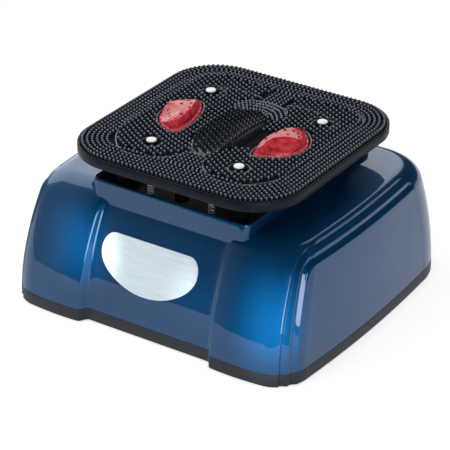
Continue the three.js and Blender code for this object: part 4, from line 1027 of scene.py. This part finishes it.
# Colour, roughness, scale of the grain, metallic share
METALS = {
    "bright_steel": ((0.78, 0.79, 0.81), 0.4, 400, 0.6),
    "cast_alloy": ((0.50, 0.51, 0.53), 0.45, 250, 1),
    "motor_can": ((0.30, 0.31, 0.33), 0.38, 400, 1),
    "weight_iron": ((0.20, 0.20, 0.21), 0.55, 200, 1),
    "pin_brass": ((0.70, 0.60, 0.30), 0.3, 400, 1),
}
looks = {
    "blue_paint": blue_paint(), "dome_red": dome_plastic(), "nub_rubber": nub_rubber(),
    "badge_silver": brushed("badge_silver", (0.68, 0.82, 0.91), (0.80, 0.91, 0.97), 0.35),
    **{name: plastic(name, *row) for name, row in PLASTICS.items()},
    **{name: metal(name, *row) for name, row in METALS.items()},
}
for row in frame["record"]["subparts"]:
    mesh = frame["nodes"][row["node"]].data
    mesh.materials.clear()
    mesh.materials.append(looks[row["material_slot"]])


# Pieces

def stand_for(piece, body, node):
    """Lets a piece ride on a body in place of a CAD node."""
    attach(piece, body)
    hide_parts(node)


stand_for(housing_body(looks["blue_paint"]), "base", "housing_shell")
stand_for(plinth_body(looks["plinth_grey"]), "base", "base_pan")
stand_for(plate_body(looks["plate_black"]), "plate", "foot_plate")
stand_for(mat_body(looks["rubber_black"]), "plate", "massage_mat")
stand_for(nubs_body(looks["nub_rubber"]), "plate", "massage_mat")
stand_for(hump_body(looks["hump_rubber"]), "plate", "massage_mat")
for name, side in (("left", -1), ("right", 1)):
    dome = dome_body("dome_" + name, side, looks["dome_red"])
    stand_for(dome, "plate", "massage_dome_" + name)
stand_for(badge_body(looks["badge_silver"]), "base", "front_badge")
corners = (("front_left", -1, -1), ("front_right", 1, -1), ("back_right", 1, 1), ("back_left", -1, 1))
for (name, sx, sy), (x, y) in zip(corners, CAPS):
    cap = turned_body("cap_" + name, CAP_PROFILE, x, y, looks["cap_white"])
    stand_for(cap, "plate", "screw_cap_" + name)
    spring = spring_body("spring_" + name, sx * SPRING_X, sy * SPRING_Y, looks["bright_steel"])
    stand_for(spring, "base", "support_spring_" + name)
places = [(x, y) for x in (-BUFFER_X, 0, BUFFER_X) for y in (-SPRING_Y, SPRING_Y)]
for index, (x, y) in enumerate(places, 1):
    buffer = turned_body(f"buffer_{index}", BUFFER_PROFILE, x, y, looks["rubber_black"])
    stand_for(buffer, "plate", f"rubber_buffer_{index}")


# Studio: camera, pale floor, world and lamps, in metres but for the floor's sheet

FOCAL = 2296.87  # pixels of a picture 450 wide
PICTURE = 450
CAMERA_AZIMUTH, CAMERA_ELEVATION = math.radians(33.7), math.radians(28.46)
CAMERA_TARGET, TARGET_PIXEL, TARGET_DEPTH = Vector((0, 0, 0.11)), (233.21, 206.85), 3.11716
FLOOR = ((-3000, -700, -20), (3000, 4000, 0))  # ends in front, as the table does in its reflection
FLOOR_SEEN = 0.6
FLOOR_MIRRORED = 0.36
SOFT_LIGHT = 0.54
WINDOW_WAY = (-0.75, 0.6, 0.6)
WINDOW_ANGLES = (34, 28)  # where its light starts and where it is full
WINDOW_LIGHT = 1.6
WALL_WAY = (-1, 0, 0)
WALL_REACH = (0.42, 0.64)
WALL_LIGHT = (0.02, 0.35)
# Name, place, target, size, watts, and whether it is there for gloss alone or not for gloss
PANELS = (
    ("key", (-0.8, -2.0, 0.6), (0, 0, 0.1), (1.2, 0.9), 14, False),
    ("fill", (1.9, 0.6, 0.25), (0.2, 0, 0.09), (1.2, 0.4), 5, False),
    ("strip", (1.77, -1.77, 0.7), (0, 0, 0.1), (0.95, 1.3), 26, True),
)
# Soft spots on the paint below its clear coat and on the plate: name, place, target, degrees,
# watts, and how narrow
GLOWS = (
    ("glow_right", (0.45, -0.72, 0.20), (0.182, -0.193, 0.082), 14, 100, 0.6),
    ("glow_top", (0.0, 0.0, 1.7), (0.0, 0.0, 0.23), 20, 26, 1),
    ("glow_middle", (0.25, -0.80, 0.25), (0.078, -0.185, 0.075), 8, 14, 1),
    ("glow_left", (0.45, -0.85, 0.30), (-0.112, -0.195, 0.105), 8, 150, 0.6),
)


def add_camera():
    """The photo's camera, as fitted to it."""
    across, level = math.sin(CAMERA_AZIMUTH), math.cos(CAMERA_ELEVATION)
    back = Vector((across * level, -math.cos(CAMERA_AZIMUTH) * level, math.sin(CAMERA_ELEVATION)))
    right = Vector((math.cos(CAMERA_AZIMUTH), across, 0))
    up = back.cross(right)
    shift_x, shift_y = ((pixel - PICTURE / 2) / FOCAL * TARGET_DEPTH for pixel in TARGET_PIXEL)
    place = CAMERA_TARGET + back * TARGET_DEPTH - right * shift_x + up * shift_y
    camera = bpy.data.objects.new("camera", bpy.data.cameras.new("camera"))
    camera.data.sensor_width = 36
    camera.data.lens = FOCAL / PICTURE * camera.data.sensor_width
    camera.data.clip_end = 100
    rotation = Matrix((right, up, back)).transposed().to_4x4()
    camera.matrix_world = Matrix.Translation(place) @ rotation
    bpy.context.scene.collection.objects.link(camera)
    bpy.context.scene.camera = camera


def any_of(nodes, links, *values):
    """The largest of several node outputs."""
    result = values[0]
    for value in values[1:]:
        node = nodes.new("ShaderNodeMath")
        node.operation = "MAXIMUM"
        links.new(result, node.inputs[0])
        links.new(value, node.inputs[1])
        result = node.outputs[0]
    return result


def facing(nodes, links, direction, way):
    """How far a direction agrees with a way, from -1 to 1."""
    node = nodes.new("ShaderNodeVectorMath")
    node.operation = "DOT_PRODUCT"
    node.inputs[1].default_value = Vector(way).normalized()
    links.new(direction, node.inputs[0])
    return node.outputs["Value"]


def add_floor():
    """A pale sheet that glows a little where the camera or a reflection sees it."""
    material, nodes, links, bsdf = new_material("floor_white")
    tune(bsdf, Base_Color=(0.88, 0.88, 0.88, 1), Roughness=0.9, Specular_IOR_Level=0.1,
         Emission_Color=(1, 1, 1, 1))
    rays = nodes.new("ShaderNodeLightPath").outputs
    mirrored = any_of(nodes, links, rays["Is Glossy Ray"], rays["Is Transmission Ray"])
    seen = ranged(nodes, links, rays["Is Camera Ray"], 0, FLOOR_SEEN)
    glow = any_of(nodes, links, seen, ranged(nodes, links, mirrored, 0, FLOOR_MIRRORED))
    links.new(glow, bsdf.inputs["Emission Strength"])
    floor = add_object("floor", *box_body(*FLOOR), material)


def add_lamp(kind, name, place, target, watts):
    lamp = bpy.data.objects.new(name, bpy.data.lights.new(name, kind))
    lamp.data.energy = watts
    lamp.location = place
    lamp.rotation_euler = (Vector(place) - Vector(target)).to_track_quat("Z", "Y").to_euler()
    bpy.context.scene.collection.objects.link(lamp)
    return lamp


def set_world():
    """White behind the object and soft light on it. Its gloss sees a bright back and a dark front."""
    world = bpy.data.worlds.new("studio")
    bpy.context.scene.world = world
    world.use_nodes = True
    nodes, links = world.node_tree.nodes, world.node_tree.links
    rays = nodes.new("ShaderNodeLightPath").outputs
    soft = nodes["Background"]
    tune(soft, Color=(1, 1, 1, 1), Strength=SOFT_LIGHT)
    where = nodes.new("ShaderNodeTexCoord").outputs["Generated"]
    wide, narrow = (math.cos(math.radians(angle)) for angle in WINDOW_ANGLES)
    window = ranged(nodes, links, facing(nodes, links, where, WINDOW_WAY), 0, WINDOW_LIGHT,
                    (wide, narrow), "SMOOTHSTEP")
    wall = ranged(nodes, links, facing(nodes, links, where, WALL_WAY), *WALL_LIGHT, WALL_REACH,
                  "SMOOTHSTEP")
    bright = nodes.new("ShaderNodeMath")
    links.new(window, bright.inputs[0])
    links.new(wall, bright.inputs[1])
    strength = nodes.new("ShaderNodeMix")
    tune(strength, A=1.0)
    links.new(rays["Is Glossy Ray"], strength.inputs["Factor"])
    links.new(bright.outputs[0], strength.inputs["B"])
    backdrop = nodes.new("ShaderNodeBackground")
    tune(backdrop, Color=(1, 1, 1, 1))
    links.new(strength.outputs["Result"], backdrop.inputs["Strength"])
    seen = any_of(nodes, links, rays["Is Camera Ray"], rays["Is Glossy Ray"], rays["Is Transmission Ray"])
    mix = nodes.new("ShaderNodeMixShader")
    links.new(seen, mix.inputs["Fac"])
    links.new(soft.outputs["Background"], mix.inputs[1])
    links.new(backdrop.outputs["Background"], mix.inputs[2])
    links.new(mix.outputs["Shader"], nodes["World Output"].inputs["Surface"])


add_camera()
add_floor()
set_world()
for name, place, target, size, watts, for_gloss in PANELS:
    lamp = add_lamp("AREA", name, place, target, watts)
    lamp.data.shape = "RECTANGLE"
    lamp.data.size, lamp.data.size_y = size
    lamp.visible_glossy, lamp.visible_diffuse = for_gloss, not for_gloss
for name, place, target, degrees, watts, narrow in GLOWS:
    lamp = add_lamp("SPOT", name, place, target, watts)
    lamp.data.spot_size = math.radians(degrees)
    lamp.data.spot_blend = 1.0
    lamp.data.shadow_soft_size = 0.03
    lamp.scale = (narrow, 1, 1)
    lamp.visible_glossy = False

bpy.context.scene.view_settings.view_transform = "Standard"
